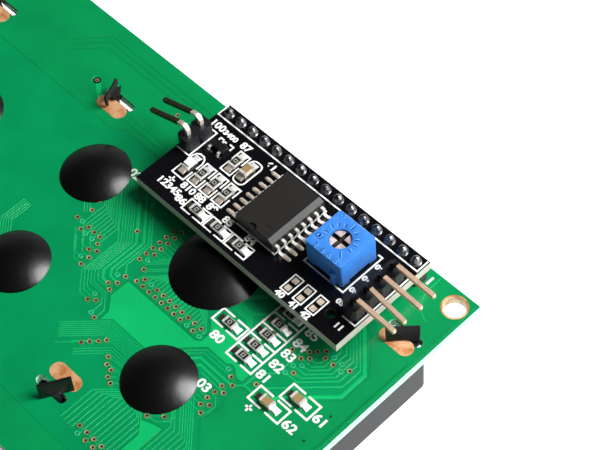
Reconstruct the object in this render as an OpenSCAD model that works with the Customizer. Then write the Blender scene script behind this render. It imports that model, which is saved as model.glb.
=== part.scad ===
// Character display module, 20 columns by 4 rows, with a serial adapter board on its back.
// It lies face down: the bezel's front face is on Z = 0 and the component side looks up.
// +X runs along the display towards pin 1, +Y towards the edge with the 16-way header.

/* [Display board] */
// Length of the display board
board_l = 98; // [94:0.5:110]
// Width of the display board
board_w = 60; // [58:0.5:70]
// Thickness of the display board
board_t = 1.6; // [1.2:0.1:2]
// Distance from each edge to the middle of a mounting hole
mount_inset = 2.5; // [2.4:0.05:3]
// Diameter of the mounting holes
mount_d = 3.6; // [2.5:0.1:3.8]

/* [Bezel] */
// Distance from each end of the board to the steel bezel
bezel_margin = 0.6; // [0.2:0.05:1]
// Width of the steel bezel
bezel_w = 39.9; // [39.5:0.1:42]
// Depth from the bezel's front face to the display board
bezel_depth = 8; // [7.5:0.1:11]
// Sheet thickness of the bezel
sheet = 0.5; // [0.3:0.05:0.6]
// Outer radius of the bezel's upright corners
bezel_corner_r = 1.05; // [0.8:0.05:2]
// Outer radius of the bend round the front face
bezel_bend_r = 0.7; // [0.6:0.05:0.75]
// Length of the viewing window
window_l = 77; // [60:0.5:80]
// Width of the viewing window
window_w = 26.4; // [20:0.1:27]

/* [Bezel tabs] */
// Distance from the bezel's end to the middle of an outer slot
slot_inset = 3.9; // [3.8:0.1:6]
// Distance between the middles of an inner and an outer slot
slot_step = 28.7; // [24:0.1:32]
// Length of a slot, end to end
slot_l = 5.9; // [5.5:0.1:6.2]
// Width of a slot
slot_w = 1.4; // [1.4:0.05:1.5]
// Width of a tab's neck
neck_w = 1.05; // [0.8:0.05:1.05]
// Outward distance of each neck from the middle of its slot
neck_shift = 1.2; // [0:0.1:1.4]
// Width of a tab's head
tab_w = 4.8; // [3.5:0.1:5]
// Height of a tab's head
tab_h = 2.25; // [1.5:0.05:2.25]

/* [Display cell] */
// Thickness of one glass plate
glass_t = 1.1; // [0.7:0.1:1.1]
// Thickness of a polariser
polariser_t = 0.2; // [0.1:0.05:0.3]
// Width of the rear glass, which leaves a contact ledge on each side
rear_glass_w = 30; // [29:0.5:31]
// Width of a contact strip
strip_w = 2; // [1.5:0.1:2.2]
// Distance from each end of the glass to a contact strip
strip_margin = 3.5; // [2:0.1:8]

/* [Backlight] */
// Wall of the backlight frame
frame_wall = 1.6; // [1:0.1:2]
// Floor of the backlight frame
frame_floor = 0.8; // [0.6:0.1:1]
// Thickness of the light guide
guide_t = 3; // [2.5:0.1:3.5]
// Distance between the two backlight leads
lead_pitch = 2.54; // [2:0.01:5]

/* [Chips under resin] */
// Radius of the resin dome over the controller
controller_r = 6.9; // [5:0.1:7]
// Height of the controller's dome
controller_h = 1.8; // [1.2:0.1:2]
// Radius of the resin domes over the drivers
driver_r = 5.5; // [4:0.1:5.8]
// Height of a driver's dome
driver_h = 1.6; // [1.2:0.1:1.8]

/* [Header between the boards] */
// Number of pins
pin_count = 16; // [14:1:16]
// Pin pitch
pitch = 2.54; // [2.5:0.01:2.54]
// Width of a square pin
pin_w = 0.64; // [0.5:0.02:0.64]
// Diameter of a drilled pin hole
pin_hole_d = 1; // [0.95:0.05:1.1]
// Distance from the board's end to pin 1
pin1_inset = 9.75; // [9:0.05:11]
// Distance from the board's edge to the pin row
pin_inset = 2.6; // [2:0.05:2.8]
// Height of the plastic spacer, which sets the gap between the boards
spacer_h = 2.4; // [2.4:0.05:3]

/* [Adapter board] */
// Length of the adapter board
adapter_l = 41.1; // [40:0.1:44]
// Width of the adapter board
adapter_w = 18.4; // [18.2:0.1:19]
// Thickness of the adapter board
adapter_t = 1.6; // [1:0.1:1.6]
// Distance from pin 1 to the adapter's end
adapter_end = 1.55; // [1.2:0.05:2]
// Distance from the pin row to the adapter's edge
adapter_edge = 1.3; // [1:0.05:1.6]

/* [Port expander chip] */
// Width of the chip's body
chip_w = 7.5; // [7:0.1:7.5]
// Length of the chip's body
chip_l = 10.3; // [10:0.1:10.5]
// Height of the chip's top over the board
chip_h = 2.6; // [2.3:0.05:2.65]
// Width over the tips of the leads
lead_span = 10.3; // [9.9:0.1:10.5]
// Pitch of the leads
lead_step = 1.27; // [1.2:0.01:1.27]

/* [Contrast trimmer] */
// Side of the square trimmer
trimmer_w = 6.9; // [6.5:0.1:7]
// Height of the trimmer over the adapter board
trimmer_h = 4.8; // [4.4:0.1:5]
// Radius of the slotted rotor
rotor_r = 1.6; // [1.2:0.05:1.8]
// Radial running clearance of the rotor
rotor_clear = 0.05; // [0.02:0.01:0.1]

/* [Angled headers] */
// Height of the plastic blocks
block_h = 2.5; // [2.3:0.05:2.54]
// Length of a pin after its bend
arm_l = 7; // [5:0.1:8]
// Middle-line radius of the bends
bend_r = 0.8; // [0.6:0.05:1]

/* [Places on the adapter] */
// Distance of the chip's middle from the adapter's front edge
chip_y = 9.5; // [9.2:0.05:9.6]
// Distance of the trimmer's middle from the adapter's header end
trimmer_inset = 9.35; // [9.1:0.05:9.6]
// Distance of the trimmer's middle from the front edge
trimmer_y = 10.45; // [9:0.05:11]
// Distance of the 4-way header's row from the header end
bus_inset = 1.9; // [1.5:0.05:2]
// Distance of the 4-way header's middle from the front edge
bus_y = 9.2; // [8.5:0.05:9.6]
// Distance of the 2-way header's row from the far end
jumper_inset = 1.3; // [1.3:0.05:1.4]
// Distance of the 2-way header's middle from the front edge
jumper_y = 10.65; // [9.8:0.05:11]
// Distance of the lamp from the far end
lamp_inset = 4.1; // [4:0.05:4.3]
// Distance of the lamp from the front edge
lamp_y = 6.85; // [6.5:0.05:7.2]
// Distance of the transistor from the far end
transistor_inset = 5; // [4.9:0.05:5.2]
// Distance of the transistor and the capacitor from the front edge
transistor_y = 11.85; // [11.6:0.05:12]
// Distance of the capacitor from the far end
capacitor_inset = 11.2; // [11:0.05:11.3]
// Distance of the tie hole from the header end
tie_inset = 4.1; // [3.5:0.1:5]
// Distance of the tie hole from the front edge
tie_y = 3; // [2:0.1:4]

/* [Small parts] */
// Length of a chip resistor or capacitor
chip_part_l = 2; // [1.6:0.1:2.1]
// Width of a chip resistor or capacitor
chip_part_w = 1.25; // [0.8:0.05:1.3]
// Height of a chip resistor
resistor_h = 0.55; // [0.4:0.05:0.7]
// Height of a chip capacitor
capacitor_h = 0.95; // [0.7:0.05:1.25]

/* [Hidden] */
round_fn = 48;
overlap = 0.01;   // depth by which a cut passes the face that it opens

// Places that follow the display board's edges
mount_x = board_l / 2 - mount_inset;
mount_y = board_w / 2 - mount_inset;
bezel_l = board_l - 2 * bezel_margin;
pin1_x = board_l / 2 - pin1_inset;
pin_y = board_w / 2 - pin_inset;
row_x = pin1_x - (pin_count - 1) / 2 * pitch;   // middle of the header row
slot_x_outer = bezel_l / 2 - slot_inset;
slot_x_inner = slot_x_outer - slot_step;

// Heights of the stacked layers
board_z = bezel_depth;
back_z = board_z + board_t;
adapter_z = back_z + spacer_h;
top_z = adapter_z + adapter_t;
front_glass_z = sheet + polariser_t;
rear_glass_z = front_glass_z + glass_t;
cell_z = rear_glass_z + glass_t + polariser_t;

// Bezel tabs, each with the twist and the lean that the pliers gave it
wall_y = bezel_w / 2 - sheet / 2;
slot_y = wall_y + 0.1;   // the slot leaves more room outside the wall than inside
tab_lift = 0.12;         // gap under a tab's head
tab_bends = [ // slot side along X, outer or inner, side along Y, twist, lean, head offset
    [-1, 0, 1, 109, 20, 0.0],
    [1, 0, 1, -66, 20, 0.0],
    [1, 1, 1, 49, 20, -1.1],
    [-1, 1, 1, -58, 15, 0.0],
    [-1, 0, -1, -55, 15, 0.0],
    [1, 0, -1, 60, 15, 0.0],
    [1, 1, -1, -52, 15, 0.0],
    [-1, 1, -1, 57, 15, 0.0]
];

// Display cell and backlight
cell_clear = 0.4;
cell_l = bezel_l - 2 * sheet - 2 * cell_clear;
front_glass_w = bezel_w - 2 * sheet - 2 * cell_clear;
polariser_margin = 1.5;
ledge_gap = 0.6;
strip_l = cell_l - 2 * strip_margin;
strip_y = rear_glass_w / 2 + ledge_gap + strip_w / 2;
frame_l = cell_l - 2;
frame_w = rear_glass_w - 0.4;
frame_h = board_z - cell_z;
well_l = frame_l - 2 * frame_wall;
well_w = frame_w - 2 * frame_wall;
guide_clear = 0.1;
led_board_t = 0.8;
led_depth = 1.2;
guide_l = well_l - led_board_t - led_depth - 3 * guide_clear;
led_count = 6;
lead_r = 0.3;
lead_x = -well_l / 2 + guide_clear + led_board_t / 2;

// Resin domes: the controller in the middle and one driver near each quarter of the board
controller_pos = [row_x - 2.4, 8.9];
driver_pos = [[row_x - 28.1, 8.2], [row_x + 5.1, -8.6], [row_x - 24.6, -10.2], [row_x - 51.7, 2.4]];

// Adapter board
adapter_x = pin1_x + adapter_end - adapter_l / 2;
adapter_y = pin_y + adapter_edge - adapter_w / 2;
adapter_right = adapter_x + adapter_l / 2;
adapter_left = adapter_x - adapter_l / 2;
adapter_front = adapter_y - adapter_w / 2;
tie_hole_d = 1.6;
pin_tail = 1.2;
joint_r = 0.92;
joint_h = 1.15;

// Places of the adapter's parts
chip_pos = [row_x, adapter_front + chip_y];
trimmer_pos = [adapter_right - trimmer_inset, adapter_front + trimmer_y];
bus_pos = [adapter_right - bus_inset, adapter_front + bus_y];
jumper_pos = [adapter_left + jumper_inset, adapter_front + jumper_y];
lamp_pos = [adapter_left + lamp_inset, adapter_front + lamp_y];
capacitor_pos = [adapter_left + capacitor_inset, adapter_front + transistor_y - 0.2];
transistor_pos = [adapter_left + transistor_inset, adapter_front + transistor_y];
tie_hole_pos = [adapter_right - tie_inset, adapter_front + tie_y];
adapter_resistor_pos = [ // offset from the far front corner, and the turn about Z
    [20.0, 1.95, 0], [15.5, 1.95, 0], [11.05, 1.95, 0],
    [8.8, 11.65, 90], [9.45, 6.85, 90], [12.0, 6.85, 90], [6.85, 6.85, 90]
];

// Small parts of the display board
oscillator_pos = [row_x + 5.7, 4.15];
bias_x = row_x + 10.9;
bias_y = 1.85;
bias_step = 2.27;
board_capacitor_pos = [[row_x + 21.3, 2.3], [row_x + 18.6, -0.9]];

// Trimmer inside
trimmer_wall = 0.6;
trimmer_skin = 1.1;
trimmer_base_t = 0.8;
trimmer_stand = 0.45;
rotor_disc_r = 2.3;
rotor_disc_h = 1.1;
trimmer_gap = 0.06;
trimmer_floor_z = trimmer_stand + trimmer_base_t;
rotor_disc_z = trimmer_floor_z + trimmer_gap;
trimmer_well_r = rotor_disc_r + rotor_clear + 0.05;
trimmer_leg_step = 2.54;
driver_slot_w = 0.62;
driver_slot_depth = 0.7;
leg_r = 0.25;

// Pins and legs under the adapter, and the straight part of a pin over its block
leg_tail = 0.8;
bend_rise = 0.65;

// Port expander chip
chip_standoff = 0.2;
chip_body_h = chip_h - chip_standoff;

// Transistor
transistor_l = 2.9;
transistor_w = 1.3;
transistor_h = 1;
transistor_low = 0.1;
transistor_draft = 0.12;

// ---------- shared shapes ----------

// Slab with true round corners, centred on the origin
module rounded_slab(l, w, h, r) {
    linear_extrude(h) {
        square([l - 2 * r, w], center = true);
        square([l, w - 2 * r], center = true);
        for (sx = [-1, 1], sy = [-1, 1])
            translate([sx * (l / 2 - r), sy * (w / 2 - r)]) circle(r, $fn = round_fn);
    }
}

// Section of a pressed tray: square at the top, rounded at its lower edges
module tray_section(w, h, bend) {
    translate([-w / 2 + bend, 0]) square([w - 2 * bend, h]);
    translate([-w / 2, bend]) square([w, h - bend]);
    for (s = [-1, 1])
        translate([s * (w / 2 - bend), bend]) circle(bend, $fn = round_fn);
}

// Solid of a pressed tray with upright corners of radius corner and lower bends of radius bend
module tray_solid(l, w, h, corner, bend) {
    run_l = l - 2 * corner;
    run_w = w - 2 * corner;
    translate([-run_l / 2, 0, 0]) rotate([90, 0, 90])
        linear_extrude(run_l) tray_section(w, h, bend);
    translate([0, run_w / 2, 0]) rotate([90, 0, 0])
        linear_extrude(run_w) tray_section(l, h, bend);
    for (sx = [-1, 1], sy = [-1, 1])
        translate([sx * run_l / 2, sy * run_w / 2, 0])
            rotate_extrude($fn = round_fn)
                intersection() {
                    tray_section(2 * corner, h, bend);
                    square([corner, h]);
                }
}

// Dome whose wide cap runs tangentially into a tight rim
module dome(r, h, rim) {
    inner = r - rim;
    cap_r = (inner * inner + h * h - rim * rim) / (2 * (h - rim));
    join_x = inner * cap_r / (cap_r - rim);
    rotate_extrude($fn = 2 * round_fn) {
        intersection() {
            translate([0, h - cap_r]) circle(cap_r, $fn = 2 * round_fn);
            square([join_x, h]);
        }
        intersection() {
            translate([inner, 0]) circle(rim, $fn = round_fn);
            translate([join_x - overlap, 0]) square([r - join_x + overlap, rim]);
        }
    }
}

// Square bar along +X with a chamfered point
module pin_bar(length) {
    point = pin_w * 0.3;
    outline = [
        [0, -pin_w / 2], [length - point, -pin_w / 2], [length, -pin_w / 2 + point],
        [length, pin_w / 2 - point], [length - point, pin_w / 2], [0, pin_w / 2]
    ];
    intersection() {
        translate([0, 0, -pin_w / 2]) linear_extrude(pin_w) polygon(outline);
        translate([0, pin_w / 2, 0]) rotate([90, 0, 0]) linear_extrude(pin_w) polygon(outline);
    }
}

// Upright pin between two heights, pointed at its lower end
module straight_pin(low, high) {
    translate([0, 0, high]) rotate([0, 90, 0]) pin_bar(high - low);
}

// Pin that rises from low to rise, bends over towards +X through angle and runs on as an arm
module bent_pin(low, rise, angle, yaw, arm) {
    translate([0, 0, rise + overlap]) rotate([0, 90, 0]) pin_bar(rise + overlap - low);
    rotate([0, 0, yaw]) {
        translate([bend_r, 0, rise]) rotate([90, 0, 0]) rotate([0, 0, 180 - angle])
            rotate_extrude(angle = angle, $fn = round_fn)
                translate([bend_r - pin_w / 2, -pin_w / 2]) square(pin_w);
        translate([bend_r, 0, rise]) rotate([0, angle - 90, 0])
            translate([-overlap, 0, bend_r]) pin_bar(arm + overlap);
    }
}

// Solder of height h round a square pin that reaches up to hole_h
module solder_joint(r, h, hole_h) {
    skirt = 0.22;
    difference() {
        union() {
            dome(r, h, r * 0.62);
            rotate_extrude($fn = round_fn) difference() {
                square([r + skirt, skirt]);
                translate([r + skirt, skirt]) circle(skirt, $fn = round_fn);
            }
        }
        translate([-pin_w / 2, -pin_w / 2, -overlap]) cube([pin_w, pin_w, hole_h + overlap]);
    }
}

// Row of moulded header positions with cut corners, count along Y
module header_block(count, h) {
    cut = 0.45;
    half = pitch / 2;
    difference() {
        linear_extrude(h)
            for (i = [0:count - 1]) translate([0, (i - (count - 1) / 2) * pitch])
                polygon([
                    [-half, -half + cut], [-half + cut, -half], [half - cut, -half],
                    [half, -half + cut], [half, half - cut], [half - cut, half],
                    [-half + cut, half], [-half, half - cut]
                ]);
        for (i = [0:count - 1])
            translate([-pin_w / 2, (i - (count - 1) / 2) * pitch - pin_w / 2, -overlap])
                cube([pin_w, pin_w, h + 2 * overlap]);
    }
}

// Chip resistor or capacitor lying along X: a body between two metal end caps
module chip_part(h) {
    cap_l = 0.38;
    cap_t = 0.04;
    translate([-chip_part_l / 2, -chip_part_w / 2 + cap_t, cap_t])
        cube([chip_part_l, chip_part_w - 2 * cap_t, h - 2 * cap_t]);
    for (s = [0, 1]) mirror([s, 0, 0])
        translate([chip_part_l / 2 - cap_l, -chip_part_w / 2, 0])
            cube([cap_l, chip_part_w, h]);
}

// Gull-wing lead in the XZ plane: foot on Z = 0, shoulder at height rise, entering a body at X = 0
module gull_lead(reach, rise, foot, thick, width) {
    shoulder = 0.35;
    slope = 0.12;
    toe = reach - foot;
    translate([0, width / 2, 0]) rotate([90, 0, 0]) linear_extrude(width) polygon([
        [0, rise], [0, rise + thick], [shoulder + thick, rise + thick],
        [toe, thick + slope], [toe + slope, thick], [reach, thick], [reach, 0],
        [toe, 0], [toe - slope, slope], [shoulder, rise]
    ]);
}

// Places along the 16-way row
module along_header() {
    for (i = [0:pin_count - 1]) translate([pin1_x - i * pitch, pin_y, 0]) children();
}

// Place of a slot along X, from its row in tab_bends
function slot_x(b) = b[0] * (b[1] == 1 ? slot_x_outer : slot_x_inner);

// Places of the slots of the bezel tabs
module at_slots() {
    for (b = tab_bends) translate([slot_x(b), b[2] * slot_y, 0]) children();
}

// ---------- display board ----------

module lcd_board() {
    color("#00A85A") difference() {
        translate([-board_l / 2, -board_w / 2, board_z]) cube([board_l, board_w, board_t]);
        for (sx = [-1, 1], sy = [-1, 1])
            translate([sx * mount_x, sy * mount_y, board_z - overlap])
                cylinder(d = mount_d, h = board_t + 2 * overlap, $fn = round_fn);
        at_slots() translate([0, 0, board_z - overlap])
            rounded_slab(slot_l, slot_w, board_t + 2 * overlap, slot_w / 2 - overlap);
        along_header() translate([0, 0, board_z - overlap])
            cylinder(d = pin_hole_d, h = board_t + 2 * overlap, $fn = round_fn);
        for (s = [-1, 1]) translate([lead_x, s * lead_pitch / 2, board_z - overlap])
            cylinder(r = lead_r + 0.1, h = board_t + 2 * overlap, $fn = round_fn);
    }
}

// ---------- bezel ----------

// Tab with its origin on the board's back face: neck in the slot, twisted head above it
module bezel_tab(twist, lean, head_shift) {
    translate([0, 0, -board_t - sheet])
        translate([-neck_w / 2, -sheet / 2, 0]) cube([neck_w, sheet, sheet]);
    translate([0, 0, -board_t])
        linear_extrude(board_t + tab_lift + sheet / 2, twist = -twist, slices = 10)
            square([neck_w, sheet], center = true);
    rotate([0, 0, twist]) rotate([-lean, 0, 0])
        translate([head_shift - tab_w / 2, -sheet / 2, tab_lift]) cube([tab_w, sheet, tab_h]);
}

module bezel() {
    color("#2E3136") {
        difference() {
            tray_solid(bezel_l, bezel_w, bezel_depth, bezel_corner_r, bezel_bend_r);
            translate([0, 0, sheet])
                tray_solid(bezel_l - 2 * sheet, bezel_w - 2 * sheet, bezel_depth,
                           bezel_corner_r - sheet, bezel_bend_r - sheet);
            translate([-window_l / 2, -window_w / 2, -overlap])
                cube([window_l, window_w, sheet + 2 * overlap]);
        }
        for (b = tab_bends)
            translate([slot_x(b) + b[0] * neck_shift, b[2] * wall_y, back_z])
                bezel_tab(b[3], b[4], b[5]);
    }
}

// ---------- display cell ----------

module front_polariser() {
    color("#3C4A3E") translate([0, 0, sheet + polariser_t / 2])
        cube([cell_l - 2 * polariser_margin, rear_glass_w - polariser_margin, polariser_t],
             center = true);
}

module front_glass() {
    color("#B8D8C8") translate([0, 0, front_glass_z + glass_t / 2])
        cube([cell_l, front_glass_w, glass_t], center = true);
}

module rear_glass() {
    color("#B8D8C8") translate([0, 0, rear_glass_z + glass_t / 2])
        cube([cell_l, rear_glass_w, glass_t], center = true);
}

module rear_polariser() {
    color("#56664A") translate([0, 0, cell_z - polariser_t / 2])
        cube([cell_l - 2 * polariser_margin, rear_glass_w - polariser_margin, polariser_t],
             center = true);
}

module contact_strip(side) {
    color("#C8B8BC") translate([0, side * strip_y, (rear_glass_z + board_z) / 2])
        cube([strip_l, strip_w, board_z - rear_glass_z], center = true);
}

module contact_strip_upper() { contact_strip(1); }

module contact_strip_lower() { contact_strip(-1); }

// ---------- backlight ----------

module backlight_frame() {
    color("#F0F0EC") difference() {
        translate([-frame_l / 2, -frame_w / 2, cell_z]) cube([frame_l, frame_w, frame_h]);
        translate([-well_l / 2, -well_w / 2, cell_z - overlap])
            cube([well_l, well_w, frame_h - frame_floor + overlap]);
        for (s = [-1, 1]) translate([lead_x, s * lead_pitch / 2, cell_z])
            cylinder(r = lead_r + 0.1, h = frame_h + overlap, $fn = round_fn);
    }
}

module light_guide() {
    color("#E8F4A0")
        translate([well_l / 2 - guide_clear - guide_l, -well_w / 2 + guide_clear, cell_z])
            cube([guide_l, well_w - 2 * guide_clear, guide_t]);
}

// Strip of small lamps that shines into the end of the light guide
module backlight_board() {
    lamp_w = 2.4;
    lamp_pitch = (well_w - 2) / led_count;
    strip_h = guide_t - 0.2;
    color("#F4F4F0") {
        translate([lead_x - led_board_t / 2, -well_w / 2 + guide_clear, cell_z + guide_clear])
            cube([led_board_t, well_w - 2 * guide_clear, strip_h]);
        for (i = [0:led_count - 1])
            translate([lead_x + led_board_t / 2, (i - (led_count - 1) / 2) * lamp_pitch - lamp_w / 2,
                       cell_z + guide_clear + 0.6])
                cube([led_depth, lamp_w, strip_h - 1.2]);
    }
}

// Two leads from the lamp strip, soldered on the back of the display board
module backlight_leads() {
    low = cell_z + guide_t - 0.1;
    color("#C8C8C4") for (s = [-1, 1]) translate([lead_x, s * lead_pitch / 2, 0]) {
        translate([0, 0, low]) cylinder(r = lead_r, h = back_z + 0.7 - low, $fn = round_fn);
        translate([0, 0, back_z]) dome(0.8, 0.6, 0.45);
    }
}

// ---------- chips under resin ----------

module controller_blob() {
    color("#121214") translate([controller_pos[0], controller_pos[1], back_z])
        dome(controller_r, controller_h, controller_h * 0.55);
}

module driver_blob(i) {
    color("#121214") translate([driver_pos[i][0], driver_pos[i][1], back_z])
        dome(driver_r, driver_h, driver_h * 0.55);
}

module driver_blob_1() { driver_blob(0); }

module driver_blob_2() { driver_blob(1); }

module driver_blob_3() { driver_blob(2); }

module driver_blob_4() { driver_blob(3); }

// ---------- small parts of the display board ----------

module board_resistor(x, y) {
    color("#1C1C1E") translate([x, y, back_z]) chip_part(resistor_h);
}

module oscillator_resistor() { board_resistor(oscillator_pos[0], oscillator_pos[1]); }

module bias_resistor(i) { board_resistor(bias_x, bias_y + (i - 1) * bias_step); }

module bias_resistor_1() { bias_resistor(1); }

module bias_resistor_2() { bias_resistor(2); }

module bias_resistor_3() { bias_resistor(3); }

module bias_resistor_4() { bias_resistor(4); }

module bias_resistor_5() { bias_resistor(5); }

module board_capacitor(i) {
    color("#D9A860") translate([board_capacitor_pos[i][0], board_capacitor_pos[i][1], back_z])
        chip_part(capacitor_h);
}

module board_capacitor_1() { board_capacitor(0); }

module board_capacitor_2() { board_capacitor(1); }

// ---------- header between the boards ----------

module header_spacer() {
    color("#18181C") translate([row_x, pin_y, back_z])
        rotate([0, 0, 90]) header_block(pin_count, spacer_h);
}

module header_pins() {
    color("#C8A888") along_header() straight_pin(board_z - pin_tail, top_z + joint_h * 0.6);
}

module board_joints() {
    color("#C8CCD0") along_header() translate([0, 0, board_z]) mirror([0, 0, 1])
        solder_joint(joint_r, pin_tail * 0.75, pin_tail);
}

module adapter_joints() {
    color("#C8CCD0") along_header() translate([0, 0, top_z])
        solder_joint(joint_r, joint_h, joint_h * 0.6);
}

// ---------- adapter board ----------

module adapter_board() {
    color("#0A0A0E") difference() {
        translate([adapter_left, adapter_front, adapter_z])
            cube([adapter_l, adapter_w, adapter_t]);
        translate([0, 0, adapter_z - overlap]) {
            along_header() pin_drill();
            at_bus_pins() pin_drill();
            at_jumper_pins() pin_drill();
            at_trimmer_legs() pin_drill();
            translate(tie_hole_pos)
                cylinder(d = tie_hole_d, h = adapter_t + 2 * overlap, $fn = round_fn);
        }
    }
}

module pin_drill() { cylinder(d = pin_hole_d, h = adapter_t + 2 * overlap, $fn = round_fn); }

module at_bus_pins() {
    for (i = [0:3]) translate([bus_pos[0], bus_pos[1] + (i - 1.5) * pitch, 0]) children();
}

module at_jumper_pins() {
    for (i = [0:1]) translate([jumper_pos[0], jumper_pos[1] + (i - 0.5) * pitch, 0]) children();
}

module at_trimmer_legs() {
    for (p = [[-1, -1], [0, 1], [1, -1]])
        translate([trimmer_pos[0] + p[0] * trimmer_leg_step,
                   trimmer_pos[1] + p[1] * trimmer_leg_step, 0]) children();
}

// ---------- port expander chip ----------

// Body with drafted sides, a bevel along its +X edge and a half-round end notch
module expander_body() {
    body_h = chip_body_h;
    draft = 0.15;
    bevel_w = 0.9;
    bevel_h = 0.5;
    notch_depth = 0.35;
    dimple_inset = [1.3, 1.4];
    dimple_depth = 0.08;
    half = chip_w / 2;
    color("#2A2524") translate([chip_pos[0], chip_pos[1], top_z + chip_standoff]) difference() {
        intersection() {
            translate([0, chip_l / 2, 0]) rotate([90, 0, 0]) linear_extrude(chip_l) polygon([
                [-half + draft, 0], [half - draft, 0], [half, body_h / 2],
                [half - draft / 2, body_h - bevel_h], [half - bevel_w, body_h],
                [-half + draft, body_h], [-half, body_h / 2]
            ]);
            translate([-half, 0, 0]) rotate([90, 0, 90]) linear_extrude(chip_w) polygon([
                [-chip_l / 2 + draft, 0], [chip_l / 2 - draft, 0], [chip_l / 2, body_h / 2],
                [chip_l / 2 - draft, body_h], [-chip_l / 2 + draft, body_h],
                [-chip_l / 2, body_h / 2]
            ]);
        }
        translate([(draft - bevel_w) / 2, -chip_l / 2, body_h - notch_depth])
            cylinder(r = 0.75, h = notch_depth + overlap, $fn = round_fn);
        translate([half - bevel_w - dimple_inset[0], -chip_l / 2 + dimple_inset[1],
                   body_h - dimple_depth])
            cylinder(r = 0.55, h = dimple_depth + overlap, $fn = round_fn);
    }
}

module expander_leads() {
    lead_t = 0.25;
    lead_w = 0.42;
    reach = (lead_span - chip_w) / 2;
    color("#D0D0CC") for (s = [0, 1], i = [0:7])
        translate([chip_pos[0], chip_pos[1] + (i - 3.5) * lead_step, top_z])
            mirror([s, 0, 0]) translate([chip_w / 2, 0, 0])
                gull_lead(reach, chip_standoff + (chip_body_h - lead_t) / 2, 0.75, lead_t, lead_w);
}

// ---------- contrast trimmer ----------

// Moulded box, open below, with feet at its corners, a bore for the rotor and a tick scale
module trimmer_housing() {
    half = trimmer_w / 2;
    foot = 1.5;
    pip_inset = [1.15, 1.8];
    pip_depth = 0.25;
    boss_r = 0.55;
    boss_inset = 1.5;
    boss_h = 2.6;
    tick_count = 11;
    tick = [0.6, 0.14, 0.08];   // length, width and height of a tick
    tick_gap = 0.55;
    color("#3F90F0") translate([trimmer_pos[0], trimmer_pos[1], top_z]) {
        difference() {
            rounded_slab(trimmer_w, trimmer_w, trimmer_h, 0.3);
            for (a = [0, 90]) rotate([0, 0, a])
                translate([-half + foot, -half - overlap, -overlap])
                    cube([trimmer_w - 2 * foot, trimmer_w + 2 * overlap, trimmer_stand + overlap]);
            translate([-half + trimmer_wall, -half + trimmer_wall, -overlap])
                cube([trimmer_w - 2 * trimmer_wall, trimmer_w - 2 * trimmer_wall,
                      trimmer_floor_z + overlap]);
            cylinder(r = trimmer_well_r, h = trimmer_h - trimmer_skin, $fn = 2 * round_fn);
            cylinder(r = rotor_r + rotor_clear, h = trimmer_h + overlap, $fn = 2 * round_fn);
            translate([-half + pip_inset[0], -half + pip_inset[1], trimmer_h - pip_depth])
                cylinder(r = 0.4, h = pip_depth + overlap, $fn = round_fn);
        }
        translate([half - boss_inset, -half, 0]) cylinder(r = boss_r, h = boss_h, $fn = round_fn);
        for (i = [0:tick_count - 1]) rotate([0, 0, -60 + i * 300 / tick_count])
            translate([rotor_r + tick_gap, -tick[1] / 2, trimmer_h - overlap]) cube(tick);
    }
}

// Rotor: a disc under the skin and a slotted neck that fills the bore
module trimmer_rotor() {
    neck_top = trimmer_h - 0.1;
    color("#C8B8B8") translate([trimmer_pos[0], trimmer_pos[1], top_z]) difference() {
        union() {
            translate([0, 0, rotor_disc_z])
                cylinder(r = rotor_disc_r, h = rotor_disc_h, $fn = 2 * round_fn);
            translate([0, 0, rotor_disc_z])
                cylinder(r = rotor_r, h = neck_top - rotor_disc_z, $fn = 2 * round_fn);
        }
        for (a = [0, 90]) rotate([0, 0, a])
            translate([-rotor_r - overlap, -driver_slot_w / 2, neck_top - driver_slot_depth])
                cube([2 * (rotor_r + overlap), driver_slot_w, driver_slot_depth + overlap]);
    }
}

// Ceramic plate that closes the housing from below and carries the track
module trimmer_base() {
    side = trimmer_w - 2 * trimmer_wall - 2 * trimmer_gap;
    color("#E8E4DC") translate([trimmer_pos[0], trimmer_pos[1], top_z + trimmer_stand])
        difference() {
            translate([-side / 2, -side / 2, 0]) cube([side, side, trimmer_base_t]);
            translate([-trimmer_pos[0], -trimmer_pos[1], -overlap]) at_trimmer_legs()
                cylinder(r = leg_r + 0.02, h = trimmer_base_t + 2 * overlap, $fn = round_fn);
        }
}

module trimmer_legs() {
    color("#C8C8C4") translate([0, 0, adapter_z - leg_tail]) at_trimmer_legs()
        cylinder(r = leg_r, h = adapter_t + leg_tail + trimmer_floor_z, $fn = round_fn);
}

// ---------- angled headers ----------

module bus_header_block() {
    color("#18181C") translate([bus_pos[0], bus_pos[1], top_z]) header_block(4, block_h);
}

module bus_header_pins() {
    yaws = [0, -4, 0, 0];   // the second pin is bent a little to one side
    color("#C8A888") for (i = [0:3])
        translate([bus_pos[0], bus_pos[1] + (i - 1.5) * pitch, 0])
            bent_pin(adapter_z - leg_tail, top_z + block_h + bend_rise, 93, yaws[i], arm_l);
}

module jumper_header_block() {
    color("#18181C") translate([jumper_pos[0], jumper_pos[1], top_z]) header_block(2, block_h);
}

module jumper_header_pins() {
    color("#C8A888") for (i = [0:1])
        translate([jumper_pos[0], jumper_pos[1] + (i - 0.5) * pitch, 0]) mirror([1, 0, 0])
            bent_pin(adapter_z - leg_tail, top_z + block_h + bend_rise, 112, 0, arm_l);
}

// ---------- small parts of the adapter ----------

// Lamp: a chip base with end caps under a moulded lens
module power_led() {
    lamp_base_h = 0.45;
    lens_l = 1.2;
    lens_w = chip_part_w - 0.1;
    lens_h = 0.3;
    color("#F6F6F2") translate([lamp_pos[0], lamp_pos[1], top_z]) rotate([0, 0, 90]) {
        chip_part(lamp_base_h);
        translate([-lens_l / 2, -lens_w / 2, lamp_base_h - overlap]) cube([lens_l, lens_w, lens_h]);
    }
}

module adapter_resistor(i) {
    p = adapter_resistor_pos[i - 1];
    color("#1C1C1E") translate([adapter_left + p[0], adapter_front + p[1], top_z])
        rotate([0, 0, p[2]]) chip_part(resistor_h);
}

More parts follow.
